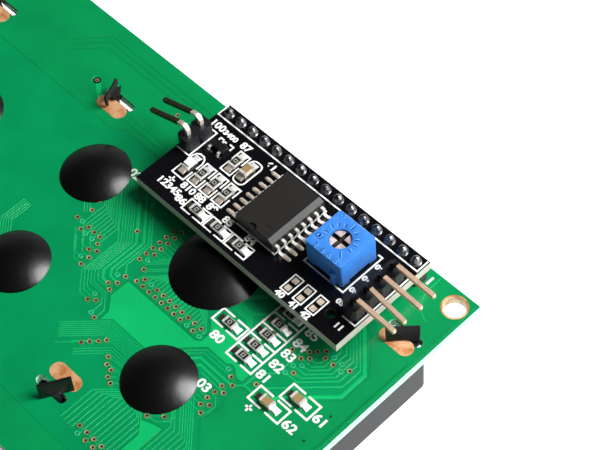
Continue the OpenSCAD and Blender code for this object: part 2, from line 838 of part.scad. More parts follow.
module adapter_resistor_1() { adapter_resistor(1); }

module adapter_resistor_2() { adapter_resistor(2); }

module adapter_resistor_3() { adapter_resistor(3); }

module adapter_resistor_4() { adapter_resistor(4); }

module adapter_resistor_5() { adapter_resistor(5); }

module adapter_resistor_6() { adapter_resistor(6); }

module adapter_resistor_7() { adapter_resistor(7); }

module decoupling_capacitor() {
    color("#D9A860") translate([capacitor_pos[0], capacitor_pos[1], top_z])
        rotate([0, 0, 90]) chip_part(capacitor_h);
}

module transistor_body() {
    color("#1C1C1E") translate([transistor_pos[0], transistor_pos[1], top_z + transistor_low])
        intersection() {
            translate([-transistor_l / 2, 0, 0]) rotate([90, 0, 90])
                linear_extrude(transistor_l) transistor_section(transistor_w);
            translate([0, transistor_w / 2, 0]) rotate([90, 0, 0])
                linear_extrude(transistor_w) transistor_section(transistor_l);
        }
}

// Section of width w whose sides draft away from a parting line at half height
module transistor_section(w) {
    h = transistor_h - transistor_low;
    foot = w / 2 - transistor_draft;
    polygon([[-foot, 0], [foot, 0], [w / 2, h / 2], [foot, h], [-foot, h], [-w / 2, h / 2]]);
}

module transistor_legs() {
    leg_t = 0.12;
    color("#D0D0CC") translate([transistor_pos[0], transistor_pos[1], top_z])
        for (p = [[-0.95, -90], [0.95, -90], [0, 90]])
            translate([p[0], 0, 0]) rotate([0, 0, p[1]]) translate([transistor_w / 2, 0, 0])
                gull_lead(0.62 + leg_t, 0.55 - leg_t / 2, 0.2, leg_t, 0.4);
}

lcd_board();
bezel();
front_polariser();
front_glass();
rear_glass();
rear_polariser();
contact_strip_upper();
contact_strip_lower();
backlight_frame();
light_guide();
backlight_board();
backlight_leads();
controller_blob();
driver_blob_1();
driver_blob_2();
driver_blob_3();
driver_blob_4();
oscillator_resistor();
bias_resistor_1();
bias_resistor_2();
bias_resistor_3();
bias_resistor_4();
bias_resistor_5();
board_capacitor_1();
board_capacitor_2();
header_spacer();
header_pins();
board_joints();
adapter_joints();
adapter_board();
expander_body();
expander_leads();
trimmer_housing();
trimmer_rotor();
trimmer_base();
trimmer_legs();
bus_header_block();
bus_header_pins();
jumper_header_block();
jumper_header_pins();
power_led();
adapter_resistor_1();
adapter_resistor_2();
adapter_resistor_3();
adapter_resistor_4();
adapter_resistor_5();
adapter_resistor_6();
adapter_resistor_7();
decoupling_capacitor();
transistor_body();
transistor_legs();
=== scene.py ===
"""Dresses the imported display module: finishes for every part, the copper and the print of both
boards, solder, pads and marks, and a plain studio round it."""

import functools
import math

import bmesh
import bpy
from mathutils import Matrix, Vector


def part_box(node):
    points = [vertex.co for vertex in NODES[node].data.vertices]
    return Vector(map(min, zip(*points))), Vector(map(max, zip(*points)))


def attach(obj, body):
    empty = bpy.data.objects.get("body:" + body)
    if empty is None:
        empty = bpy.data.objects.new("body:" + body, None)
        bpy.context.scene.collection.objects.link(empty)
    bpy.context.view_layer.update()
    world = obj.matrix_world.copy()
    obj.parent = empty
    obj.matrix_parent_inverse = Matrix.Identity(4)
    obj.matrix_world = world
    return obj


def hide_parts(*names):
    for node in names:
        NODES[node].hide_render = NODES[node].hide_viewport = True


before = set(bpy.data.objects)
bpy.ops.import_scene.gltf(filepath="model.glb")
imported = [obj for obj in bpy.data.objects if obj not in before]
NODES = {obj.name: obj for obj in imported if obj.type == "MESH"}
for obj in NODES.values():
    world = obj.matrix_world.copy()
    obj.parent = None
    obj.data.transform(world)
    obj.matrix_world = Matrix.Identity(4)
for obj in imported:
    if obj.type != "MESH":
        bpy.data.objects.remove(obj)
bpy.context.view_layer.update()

bl_info = {
    "name": "Character Display Dresser",
    "version": (1, 0, 0),
    "blender": (4, 5, 0),
    "location": "View3D > Sidebar > Display",
    "description": "Finishes, copper, print and solder for a character display module",
    "category": "Object",
}

MM = 0.001
BODY = "module"


def box_mm(name):
    """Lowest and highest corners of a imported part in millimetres."""
    return [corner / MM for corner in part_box(name)]


BOARD_LOW, BOARD_HIGH = box_mm("lcd_board")
BOARD_TOP = BOARD_HIGH.z
ADAPTER_TOP = box_mm("adapter_board")[1].z
# How deep what lies on the display board reaches into it, so that no gap shows
SUNK = 0.02
# Height of a capital letter as a share of the type size
CAPITAL_HEIGHT = 0.72


# ---------- colours and nodes ----------

def linear(colour):
    """Linear colour of an sRGB hex code; a colour that a user set is linear already."""
    if not isinstance(colour, str):
        return tuple(colour)
    channels = [int(colour[i:i + 2], 16) / 255 for i in (1, 3, 5)]
    return tuple(c / 12.92 if c <= 0.04045 else ((c + 0.055) / 1.055) ** 2.4
                 for c in channels) + (1.0,)


def shade(colour, factor=1.0):
    """A colour as it is, or darker or lighter."""
    return tuple(min(1.0, c * factor) for c in linear(colour)[:3]) + (1.0,)


def add_node(tree, kind, inputs=None, stops=(), **settings):
    """Adds a shader node with its settings, the stops of its colour ramp, and its inputs, each a
    value or the node or socket that is linked into it."""
    made = tree.nodes.new("ShaderNode" + kind)
    for name, value in settings.items():
        setattr(made, name, value)
    if stops:
        band = made.color_ramp.elements
        while len(band) < len(stops):
            band.new(1.0)
        for element, (position, colour) in zip(band, stops):
            element.position = position
            element.color = colour
    for socket, value in (inputs or {}).items():
        if isinstance(value, bpy.types.Node):
            value = value.outputs[0]
        if isinstance(value, bpy.types.NodeSocket):
            tree.links.new(value, made.inputs[socket])
        else:
            made.inputs[socket].default_value = value
    return made


def open_tree(owner):
    """Clears the nodes of a material or a world, and gives what adds nodes to it."""
    owner.use_nodes = True
    owner.node_tree.nodes.clear()
    return functools.partial(add_node, owner.node_tree)


def start_material(name):
    """A new material, what adds its nodes, its texture coordinates, and the place on the object
    in millimetres."""
    material = bpy.data.materials.new(name)
    add = open_tree(material)
    coords = add("TexCoord")
    where = add("Mapping", {"Vector": coords.outputs["Object"], "Scale": (1 / MM,) * 3})
    return material, add, coords, where


def close_material(add, height, depth, inputs):
    """The shader with its inputs, and bumps from a height, their depth in millimetres."""
    bumps = add("Bump", {"Height": height, "Distance": depth * MM})
    shader = add("BsdfPrincipled", {**inputs, "Normal": bumps})
    add("OutputMaterial", {"Surface": shader})


# ---------- finishes ----------

# The scales of all patterns are in features per millimetre
PLAIN_NOISE = {"Detail": 3.0, "Roughness": 0.55}
COARSE_NOISE = {"Detail": 2.0, "Roughness": 0.55}
MASK_CLOUDS = 0.12    # clouds of the mask's thickness, about 8 mm across
WEAVE_FLECKS = 2.2    # bundles of glass fibre, about 0.45 mm apart
MASK_PIMPLES = 6.0    # pimples of the cured mask
LAMINATE_LAYERS = (0.5, 0.5, 9.0)    # layers of glass cloth, seen on a cut edge
PLASTIC_CLOUDS = 0.6
MOULD_TEXTURE = 4.0
METAL_GRAIN = 3.0
GLAZE_GRAIN = 5.0
LAMINATE_EDGE = "#B8E8D0"


def solder_mask(name, colour, edge=LAMINATE_EDGE, roughness=0.3):
    """Glossy solder mask on glass-fibre laminate, moulded edges in bare laminate. Light flecks of
    the weave show through the mask, and the cut edges show the pale layers of glass and resin."""
    material, add, coords, where = start_material(name)
    normal = add("SeparateXYZ", {"Vector": coords.outputs["Normal"]})
    level = add("Math", {0: normal.outputs["Z"]}, operation="ABSOLUTE")
    flat = add("Math", {0: level, 1: 0.5}, operation="GREATER_THAN")
    cloudy = add("TexNoise", {**COARSE_NOISE, "Vector": where, "Scale": MASK_CLOUDS})
    fleck = add("TexNoise", {**COARSE_NOISE, "Vector": where, "Scale": WEAVE_FLECKS})
    tone = add("Math", {0: add("Math", {0: cloudy, 1: 0.7}, operation="MULTIPLY"),
                        1: add("Math", {0: fleck, 1: 0.3}, operation="MULTIPLY")},
               operation="ADD")
    face = add("ValToRGB", {"Fac": tone}, [(0.3, shade(colour, 0.86)), (0.7, shade(colour, 1.12))])
    layers = add("Mapping", {"Vector": where, "Scale": LAMINATE_LAYERS})
    streaks = add("TexNoise", {**PLAIN_NOISE, "Vector": layers, "Scale": 1.6})
    side = add("ValToRGB", {"Fac": streaks}, [(0.35, shade(edge, 0.72)), (0.65, shade(edge))])
    both = add("Mix", {"Factor": flat, 6: side, 7: face}, data_type="RGBA")
    fine = add("TexNoise", {**COARSE_NOISE, "Vector": where, "Scale": MASK_PIMPLES})
    close_material(add, fine, 0.006, {
        "Base Color": both.outputs[2], "Roughness": roughness, "IOR": 1.38, "Coat Weight": 0.05,
        "Coat Roughness": 0.12})
    return material


def plain_plastic(name, colour, roughness, grain=MOULD_TEXTURE, depth=0.01, spread=0.12):
    """Moulded plastic, glass, ink or resin: one colour with slow cloudiness and the fine texture
    that the mould, the screen or the hand left on it."""
    material, add, _, where = start_material(name)
    cloudy = add("TexNoise", {**PLAIN_NOISE, "Vector": where, "Scale": PLASTIC_CLOUDS})
    tone = add("ValToRGB", {"Fac": cloudy},
               [(0.3, shade(colour, 1 - spread)), (0.7, shade(colour, 1 + spread))])
    fine = add("TexNoise", {**PLAIN_NOISE, "Vector": where, "Scale": grain})
    close_material(add, fine, depth, {"Base Color": tone, "Roughness": roughness, "IOR": 1.5})
    return material


def bare_metal(name, colour, dark, roughness, patch=0.8, metallic=1.0):
    """Bare metal with duller, darker patches where it was handled or heated."""
    material, add, _, where = start_material(name)
    patches = add("TexNoise", {"Vector": where, "Scale": patch, "Detail": 4.0, "Roughness": 0.6})
    tone = add("ValToRGB", {"Fac": patches}, [(0.36, shade(dark)), (0.6, shade(colour))])
    dull = add("MapRange", {"Value": patches, "From Min": 0.3, "From Max": 0.7,
                            "To Min": roughness * 1.5, "To Max": roughness * 0.8})
    fine = add("TexNoise", {**PLAIN_NOISE, "Vector": where, "Scale": METAL_GRAIN})
    close_material(add, fine, 0.01, {"Base Color": tone, "Roughness": dull, "Metallic": metallic})
    return material


def two_zone(name, axis, level, below, above, roughness=0.42, metallic=0.0, spread=0.3):
    """One part in two tones, split at a level in millimetres along an axis, for painted light and
    shade: dark on the side that lies in shade, pale on the side that catches light or a reflection."""
    material, add, _, where = start_material(name)
    place = add("SeparateXYZ", {"Vector": where})
    upper = add("Math", {0: place.outputs[axis], 1: level}, operation="GREATER_THAN")
    cloudy = add("TexNoise", {**PLAIN_NOISE, "Vector": where, "Scale": 1.2})
    tones = [add("ValToRGB", {"Fac": cloudy},
                 [(0.35, shade(colour, 1 - spread)), (0.65, shade(colour))])
             for colour in (below, above)]
    both = add("Mix", {"Factor": upper, 6: tones[0], 7: tones[1]}, data_type="RGBA")
    fine = add("TexNoise", {**PLAIN_NOISE, "Vector": where, "Scale": MOULD_TEXTURE})
    close_material(add, fine, 0.01, {"Base Color": both.outputs[2], "Roughness": roughness,
                                     "IOR": 1.5, "Metallic": metallic})
    return material


def end_capped(name, node, body, cap, cap_length=0.35, half=None, roughness=0.45, side=None):
    """Chip part: a ceramic body between two tinned end caps, told apart by the distance from its
    middle. The glaze on top of a resistor is black, and the ceramic block shows on its sides. The
    paler sides of a capacitor are a painted highlight."""
    material, add, coords, where = start_material(name)
    low, high = box_mm(node)
    size = high - low
    axis = 0 if size.x > size.y else 1
    if half is None:
        half = size[axis] / 2 - cap_length
    place = add("SeparateXYZ", {"Vector": where})
    off = add("Math", {0: place.outputs[axis], 1: (low[axis] + high[axis]) / 2},
              operation="SUBTRACT")
    away = add("Math", {0: off}, operation="ABSOLUTE")
    end = add("Math", {0: away, 1: half}, operation="GREATER_THAN")
    grain = add("TexNoise", {**COARSE_NOISE, "Vector": where, "Scale": GLAZE_GRAIN})
    middle = add("ValToRGB", {"Fac": grain}, [(0.3, shade(body, 0.85)), (0.7, shade(body))])
    if side is not None:
        normal = add("SeparateXYZ", {"Vector": coords.outputs["Normal"]})
        flat = add("Math", {0: normal.outputs["Z"], 1: 0.5}, operation="GREATER_THAN")
        middle = add("Mix", {"Factor": flat, 6: shade(side), 7: middle}, data_type="RGBA").outputs[2]
    caps = add("ValToRGB", {"Fac": grain}, [(0.35, shade(cap, 0.7)), (0.6, shade(cap))])
    both = add("Mix", {"Factor": end, 6: middle, 7: caps}, data_type="RGBA")
    metallic = add("Math", {0: end, 1: 0.4}, operation="MULTIPLY")
    gloss = add("Math", {0: end, 1: 0.3 - roughness, 2: roughness}, operation="MULTIPLY_ADD")
    close_material(add, grain, 0.012, {"Base Color": both.outputs[2], "Metallic": metallic,
                                       "Roughness": gloss, "IOR": 1.5})
    return material


# ---------- modelling by hand ----------

def select_only(*objects):
    """Leaves only these objects selected, the first of them active."""
    for other in bpy.context.selected_objects:
        other.select_set(False)
    for one in objects:
        one.select_set(True)
    bpy.context.view_layer.objects.active = objects[0]


class Editing:
    """Edit mode on one object, with its mesh as a BMesh."""

    def __init__(self, target):
        self.target = target

    def __enter__(self):
        select_only(self.target)
        bpy.ops.object.mode_set(mode="EDIT")
        return bmesh.from_edit_mesh(self.target.data)

    def __exit__(self, *failure):
        bmesh.update_edit_mesh(self.target.data)
        bpy.ops.object.mode_set(mode="OBJECT")


def pick(mesh, elements):
    """Selects only these vertices, edges or faces of a mesh in edit mode."""
    bpy.ops.mesh.select_all(action="DESELECT")
    for one in elements:
        one.select_set(True)
    mesh.select_flush_mode()


def turn_left(step):
    """Normal on the left of a step in the XY plane."""
    return Vector((-step.y, step.x))


def corner_offset(path, i, closed):
    """Mitred normal of length one at a corner of a path."""
    count = len(path)
    steps = []
    if closed or i > 0:
        steps.append((path[i] - path[i - 1]).normalized())
    if closed or i < count - 1:
        steps.append((path[(i + 1) % count] - path[i]).normalized())
    normals = [turn_left(step) for step in steps]
    total = sum(normals, Vector((0, 0)))
    return total / max(0.35, total.dot(normals[0]))


def extruded_band(sides):
    """A band through pairs of points in metres: a plane set on the first two pairs, whose end edge
    is extruded from pair to pair."""
    bpy.ops.mesh.primitive_plane_add(size=MM)
    made = bpy.context.object
    with Editing(made) as mesh:
        mesh.verts.ensure_lookup_table()
        low_start, low_end, high_start, high_end = mesh.verts
        for vertex, place in zip((high_start, low_start, high_end, low_end),
                                 (*sides[0], *sides[1])):
            vertex.co = place
        first, second = high_end, low_end
        for next_first, next_second in sides[2:]:
            pick(mesh, [mesh.edges.get((first, second))])
            bpy.ops.mesh.extrude_region_move()
            here = first.co.copy()
            first, second = sorted((v for v in mesh.verts if v.select),
                                   key=lambda v: (v.co - here).length)
            first.co, second.co = next_first, next_second
    return made


def strip(path, width, z, closed=False):
    """A flat strip of even width along a path in millimetres."""
    points = [Vector(p) for p in path]
    sides = []
    for i, point in enumerate(points):
        offset = corner_offset(points, i, closed) * (width / 2)
        sides.append([Vector((*q, z)) * MM for q in (point + offset, point - offset)])
    made = extruded_band(sides + sides[:closed])
    if closed:
        with Editing(made):
            bpy.ops.mesh.select_all(action="SELECT")
            bpy.ops.mesh.remove_doubles(threshold=0.0001 * MM)
    return made


def plate(outline, z):
    """A flat plate with a given outline in millimetres, from a filled circle."""
    bpy.ops.mesh.primitive_circle_add(vertices=len(outline), radius=MM, fill_type="NGON")
    made = bpy.context.object
    with Editing(made) as mesh:
        mesh.verts.ensure_lookup_table()
        for vertex, (x, y) in zip(mesh.verts, outline):
            vertex.co = Vector((x, y, z)) * MM
        bpy.ops.mesh.select_all(action="SELECT")
        bpy.ops.mesh.normals_make_consistent(inside=False)
    return made


def join(pieces):
    """Joins pieces into one."""
    select_only(*pieces)
    if len(pieces) > 1:
        bpy.ops.object.join()
    return bpy.context.object


def thicken(made, height):
    """Gives a flat piece its thickness by an extrusion of all its faces."""
    with Editing(made):
        bpy.ops.mesh.select_all(action="SELECT")
        bpy.ops.mesh.extrude_region_move(TRANSFORM_OT_translate={"value": (0, 0, height * MM)})
        bpy.ops.mesh.select_all(action="SELECT")
        bpy.ops.mesh.normals_make_consistent(inside=False)
    return made


def slab(outline, z, height):
    """A plate with a thickness."""
    return thicken(plate(outline, z), height)


def rail(path, width, z, height, closed=False):
    """A strip with a thickness."""
    return thicken(strip(path, width, z, closed), height)


def apply_modifier(made, kind, **settings):
    """Adds a modifier, sets it and applies it."""
    modifier = made.modifiers.new(kind.lower(), kind)
    for name, value in settings.items():
        setattr(modifier, name, value)
    select_only(made)
    bpy.ops.object.modifier_apply(modifier=modifier.name)


def soften(made, width, segments=2, angle=30):
    """Rounds the edges that are sharper than an angle in degrees."""
    apply_modifier(made, "BEVEL", width=width * MM, segments=segments, limit_method="ANGLE",
                   angle_limit=math.radians(angle))


def merge_close(threshold):
    """Merges the vertices of the mesh in edit mode that are closer than this in millimetres."""
    bpy.ops.mesh.select_all(action="SELECT")
    bpy.ops.mesh.remove_doubles(threshold=threshold * MM)


def finish_piece(pieces, name, material, body=BODY, replaces=(), smooth=None):
    """Joins what belongs together, puts its place in its mesh, names it, and gives it its finish
    and its body."""
    made = join(pieces if isinstance(pieces, list) else [pieces])
    bpy.ops.object.transform_apply(location=True, rotation=True, scale=True)
    made.name = name
    made.data.name = name
    if material is not None:
        made.data.materials.clear()
        made.data.materials.append(material)
    if smooth is None:
        bpy.ops.object.shade_flat()
    else:
        bpy.ops.object.shade_smooth_by_angle(angle=math.radians(smooth))
    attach(made, body)
    if replaces:
        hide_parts(*replaces)


def node_copy(name):
    """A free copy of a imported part, its loose triangles merged into one mesh."""
    made = NODES[name].copy()
    made.data = made.data.copy()
    made.parent = None
    for key in list(made.keys()):
        del made[key]
    bpy.context.collection.objects.link(made)
    made.matrix_world = Matrix.Identity(4)
    with Editing(made):
        merge_close(0.001)
    return made


def label(text, x, y, z, height, bold=0.0, width=1.0):
    """A printed label, its lower left corner at x, y, as a flat mesh."""
    bpy.ops.object.text_add(location=(x * MM, y * MM, z * MM))
    made = bpy.context.object
    made.data.body = text
    made.data.size = height * MM / CAPITAL_HEIGHT
    made.data.offset = bold * MM
    made.scale = (width, 1, 1)
    bpy.ops.object.convert(target="MESH")
    select_only(made)
    bpy.ops.object.transform_apply(location=True, rotation=True, scale=True)
    return made


def rounded(x0, y0, x1, y1, radius, steps=6):
    """Outline of a rectangle with round corners."""
    points = []
    for cx, cy, first in ((x1 - radius, y1 - radius, 0), (x0 + radius, y1 - radius, 90),
                          (x0 + radius, y0 + radius, 180), (x1 - radius, y0 + radius, 270)):
        for i in range(steps + 1):
            angle = math.radians(first + 90 * i / steps)
            points.append((cx + radius * math.cos(angle), cy + radius * math.sin(angle)))
    return points


def round_pad(x, y, half_x, half_y, radius):
    """Outline of a pad with round corners, from its middle."""
    return rounded(x - half_x, y - half_y, x + half_x, y + half_y, radius)


def circle(x, y, radius, steps=32):
    """Points round a circle."""
    return [(x + radius * math.cos(2 * math.pi * i / steps),
             y + radius * math.sin(2 * math.pi * i / steps)) for i in range(steps)]


def cell_paths(x0, y0, x1, y1, along, gap):
    """Two brackets that frame a part, open in the middle of the sides along its length."""
    if along == "x":
        middle = (x0 + x1) / 2
        return [[(middle - gap / 2, y1), (x0, y1), (x0, y0), (middle - gap / 2, y0)],
                [(middle + gap / 2, y1), (x1, y1), (x1, y0), (middle + gap / 2, y0)]]
    middle = (y0 + y1) / 2
    return [[(x0, middle - gap / 2), (x0, y0), (x1, y0), (x1, middle - gap / 2)],
            [(x0, middle + gap / 2), (x0, y1), (x1, y1), (x1, middle + gap / 2)]]


def repeat(master, places):
    """Copies of a piece, each with its own mesh, at x, y and a turn in degrees; the master goes."""
    copies = []
    for x, y, turn in places:
        one = master.copy()
        one.data = master.data.copy()
        bpy.context.collection.objects.link(one)
        one.matrix_world = Matrix.Translation(Vector((x, y, 0)) * MM) @ Matrix.Rotation(
            math.radians(turn), 4, "Z")
        copies.append(one)
    bpy.data.objects.remove(master)
    return copies


def fillet(length, width, base, near, far):
    """Solder that falls from a part's end to the edge of its pad, outwards along X: a block with
    its top tilted and drawn in, its edges rounded."""
    bpy.ops.mesh.primitive_cube_add(size=MM)
    made = bpy.context.object
    with Editing(made) as mesh:
        for vertex in mesh.verts:
            outer, upper = vertex.co.x > 0, vertex.co.z > 0
            side = 1 if vertex.co.y > 0 else -1
            vertex.co.x = (length - (0.12 if upper else 0) if outer else 0) * MM
            vertex.co.y = side * width / 2 * ((1 if outer else 0.8) * (0.84 if upper else 1)) * MM
            vertex.co.z = (base + (far if outer else near) if upper else base - 0.04) * MM
        pick(mesh, [e for e in mesh.edges
                    if abs(e.verts[0].co.x - e.verts[1].co.x) > 0.5 * length * MM])
        bpy.ops.mesh.subdivide(number_cuts=2)
        for vertex in mesh.verts:
            along = vertex.co.x / (length * MM)
            if 0.1 < along < 0.9 and vertex.co.z > base * MM:
                vertex.co.z -= 0.1 * (near - far) * MM
    soften(made, 0.09, angle=40)
    return made


def mound(length, width, low, height, top):
    """A rounded heap of solder: a block whose top is drawn in, bevelled and smoothed."""
    bpy.ops.mesh.primitive_cube_add(size=1, location=(0, 0, (low + height / 2) * MM))
    made = bpy.context.object
    made.scale = (length * MM, width * MM, height * MM)
    bpy.ops.object.transform_apply(location=True, rotation=True, scale=True)
    with Editing(made) as mesh:
        pick(mesh, [f for f in mesh.faces if f.normal.z > 0.9])
        bpy.ops.transform.resize(value=(top, top, 1))
        pick(mesh, [e for e in mesh.edges
                    if abs(e.verts[0].co.z - e.verts[1].co.z) > 0.1 * height * MM])
        bpy.ops.mesh.bevel(offset=0.3 * width * MM, segments=2)
        pick(mesh, [f for f in mesh.faces if f.normal.z > 0.9])
        bpy.ops.mesh.inset(thickness=0.06 * width * MM)
        bpy.ops.transform.translate(value=(0, 0, 0.06 * height * MM))
    apply_modifier(made, "SUBSURF", levels=1, render_levels=1)
    return made


# ---------- what the boards carry, in millimetres ----------

EDGE_MARGIN = 0.35    # from the rim of the display board to its copper
HEADER_PINS = 16
# Slots of the bezel's tabs, the bare pads beside them, and the mounting holes
TAB_SLOTS = [(x, y) for x in (-44.5, -15.8, 15.8, 44.5) for y in (-19.8, 19.8)]
TAB_PADS = [(x, 18.05 if y > 0 else -17.2) for x, y in TAB_SLOTS]
MOUNT_HOLES = [(x, y) for x in (-46.5, 46.5) for y in (-27.5, 27.5)]

# Plated vias that show their copper, and vias that are closed by the mask. One stands alone, on
# an island in the border
LONE_VIA = (-21.4, 19.9)
OPEN_VIAS = (
    [(11.7 + 1.32 * i, 0.8) for i in range(10) if i != 1]
    + [(11.05 + 1.325 * i, -0.2) for i in range(10) if i != 8]
    + [(8.5, 9.0 - 1.29 * i) for i in range(6)]
    + [(9.5, 9.7 - 1.3 * i) for i in range(5)]
    + [(10.3, 1.8), (4.6, 5.5), (-3.1, 3.4), (-3.6, 5.3), (-3.7, 1.1), (-1.1, 1.1), (0.2, 1.1),
       (1.4, 1.1), (-1.7, 0.1), (2.1, 0.1), (3.0, -0.8), (3.0, -2.3), (3.0, -3.8), (1.9, -1.4),
       (9.3, -0.8), (9.3, -2.3), (9.3, -3.8), (8.3, -3.2), (9.3, -6.3), (8.3, -7.0), (11.3, -8.3),
       (15.4, -9.5), (14.7, -10.4), (13.8, -11.3), (13.1, -12.2), (17.6, -11.1), (18.4, -12.0),
       (19.5, -12.2), (20.0, -13.2), (21.0, -13.6), (32.2, -1.5), (33.3, -2.3), (32.3, -3.3),
       (33.3, -3.9), (32.3, -4.6), (32.2, -5.9), (33.3, -6.5), (32.3, -7.2), (33.3, -8.1),
       (30.2, -11.9), (28.4, -13.4), (22.95, -20.7), (24.45, -20.7), (25.95, -20.7),
       (27.5, -20.7), (25.25, -21.6), (26.75, -21.6), (37.1, 8.6), (37.0, 7.1), (35.1, 7.3),
       (31.2, 7.3), (37.9, 7.9), (37.9, 9.4), (38.7, 10.3), (39.4, 9.4), (40.9, 9.4),
       (43.2, 10.3), (37.9, 4.8), (35.5, 0.1), LONE_VIA, (-7.1, 23.8)])
MASKED_VIAS = [
    (13.02, 0.8), (21.65, -0.2), (24.3, -0.2), (9.5, 3.2), (-2.6, 1.1), (-0.6, 0.1), (0.8, 0.1),
    (1.9, -3.0), (8.2, -1.4), (8.3, -5.7), (10.3, -8.1), (31.0, -0.9), (23.6, -21.7), (40.2, 10.3),
    (41.7, 10.3), (42.4, 9.4), (37.9, 6.4), (37.0, 5.6), (37.0, 4.1)]


def shifted(path, distance):
    """A path moved sideways to the left, its corners kept mitred."""
    points = [Vector(p) for p in path]
    return [points[i] + corner_offset(points, i, False) * distance for i in range(len(points))]


def bus(path, count, pitch):
    """Paths that run side by side, each shifted to the left of the one before."""
    return [shifted(path, i * pitch) for i in range(count)]


def lower_fan(x, y):
    """Thirteen tracks that leave the lower rim of a driver's dome and spread to an even pitch."""
    starts = (-2.9, -2.4, -1.9, -1.5, -1.1, -0.75, -0.4, 0.0, 0.4, 0.75, 1.2, 1.6, 2.0)
    tracks = []
    for i, start in enumerate(starts):
        foot = -5.35 + 0.765 * i
        across = abs(foot - start)
        low = y - (12.1 if i % 2 == 0 and 3 < i < 11 else 13.0)
        if across < 0.1:
            path = [(x + foot, y - 4.6), (x + foot, low)]
        else:
            path = [(x + start, y - 4.9), (x + foot, y - 4.9 - across), (x + foot, low)]
        tracks.append((0.15, path))
    return tracks


def driver_tracks():
    """Tracks of width and path round the resin domes and the vias of the display board."""
    thin, middle, thick = 0.13, 0.2, 0.36
    tracks = []
    for x, y, end in ((3.9, 2.4, [(3.9, -4.4), (6.45, -6.95), (8.3, -7.0)]),
                      (4.23, 2.7, [(4.23, -4.05), (6.5, -6.3), (9.3, -6.3)]),
                      (4.56, 2.95, [(4.56, -3.7), (6.56, -5.7), (8.2, -5.7)]),
                      (4.89, 3.2, [(4.89, -3.35), (6.42, -4.88), (9.05, -4.88), (10.25, -6.1),
                                   (10.3, -8.1)]),
                      (5.2, 3.45, [(5.2, -3.0), (6.7, -4.5), (9.25, -4.5), (11.4, -6.65),
                                   (11.4, -8.2)]),
                      (5.53, 3.65, [(5.53, -2.6), (6.7, -3.8), (9.3, -3.8)])):
        tracks.append((thin, [(-3.7, y + x + 3.7), (x, y)] + end))
    tracks += [
        (thick, [(4.2, 5.9), (6.1, 4.0), (6.1, -2.2), (7.1, -3.2), (8.3, -3.2)]),
        (0.5, [(1.0, 9.1), (4.3, 5.8)]),
        (thick, [(0.6, 11.0), (6.85, 4.75), (6.85, -1.35), (7.65, -2.2), (9.3, -2.3)]),
        (middle, [(1.3, 11.3), (7.45, 5.15), (7.45, -0.9), (8.2, -1.4)]),
        (middle, [(1.95, 11.2), (7.9, 5.25), (7.9, 0.65), (9.3, -0.75)])]
    for x, c, low in ((-2.4, 2.8, 1.1), (-1.75, 3.25, 0.1), (-1.1, 3.65, 1.1), (-0.45, 4.05, 0.1),
                      (0.2, 4.45, 1.1), (0.85, 4.9, 0.1), (1.5, 5.45, 1.1), (2.15, 6.0, 0.1)):
        tracks.append((thin, [(-3.3, c + 3.3), (x, c - x), (x, low)]))
    for x, y in ((3.0, -0.8), (3.0, -2.3), (3.0, -3.8), (1.9, -1.4), (1.9, -3.0)):
        tracks.append((thin, [(x, y), (x - 1.6, y), (x - 4.5, y + 2.9)]))
    for i in range(3):
        tracks.append((thin, [(-3.2 - 0.3 * i, 3.0 - 0.3 * i), (-5.2, 5.0 - 0.6 * i)]))
    # controller, left side
    for i in range(4):
        tracks.append((thin, [(8.5, 9.0 - 1.29 * i), (12.0, 9.0 - 1.29 * i)]))
        tracks.append((thin, [(9.5, 9.7 - 1.3 * i), (12.0, 9.7 - 1.3 * i)]))
    tracks += [
        (thin, [(9.5, 4.5), (10.6, 4.5), (12.4, 6.3)]),
        (thin, [(8.5, 3.85), (10.3, 3.85), (12.5, 6.05)]),
        (thin, [(9.5, 3.2), (10.05, 3.2), (12.6, 5.75)]),
        (thin, [(8.5, 2.55), (9.8, 2.55), (12.8, 5.55)]), (thin, [(10.3, 1.8), (13.1, 4.6)]),
        (thin, [(10.75, 1.8), (13.3, 4.35)])]
    # controller, lower side
    for i in range(21):
        x = 11.05 + 0.6625 * i
        low = -0.2 if i % 2 == 0 else 0.8
        lean = (16.0 - x) * 0.5 if x < 14.2 else ((19.8 - x) * 0.52 if x > 21.4 else 0.0)
        top = 3.4 - abs(lean) if lean else 3.2
        path = [(x, low), (x, top)]
        if lean:
            path.append((x + lean, top + abs(lean)))
        tracks.append((thin, path))
    # driver on the right: left side
    for path in bus([(21.6, -6.95), (13.5, -6.95), (8.3, -12.15)], 8, 0.33):
        tracks.append((0.12, path))
    for path in bus([(20.9, -9.75), (16.9, -9.75), (13.0, -13.65)], 3, 0.42):
        tracks.append((0.12, path))
    for x, y in ((15.4, -9.5), (14.7, -10.4), (13.8, -11.3)):
        tracks.append((thin, [(x, y), (x - 3.5, y - 3.5)]))
    for (x, y), (u, v) in (((17.6, -11.1), (20.6, -10.9)), ((18.4, -12.0), (20.9, -11.6)),
                           ((19.5, -12.2), (21.2, -11.9)), ((20.0, -13.2), (21.7, -12.4)),
                           ((21.0, -13.6), (22.2, -12.9))):
        tracks.append((thin, [(x, y), (x + (u - x) * 0.5, v), (u, v)]))
    # driver on the right: lower side
    tracks += lower_fan(25.3, -8.6)
    # driver on the right: right side
    for k, (y, x) in enumerate(((-10.55, 31.95), (-9.9, 32.7), (-9.3, 33.45), (-8.75, 34.2),
                                (-8.25, 34.95), (-7.75, 35.7), (-7.3, 36.45), (-6.85, 37.2))):
        start = 30.2 if k < 2 else 30.6
        tracks.append((thin, [(start, y), (x, y - (x - start)), (x, -24.0)]))
    tracks += [
        (thin, [(28.4, -13.4), (29.9, -13.2), (31.2, -11.9), (31.2, -11.2), (30.3, -10.4)]),
        (thin, [(30.2, -11.9), (29.2, -12.6)])]
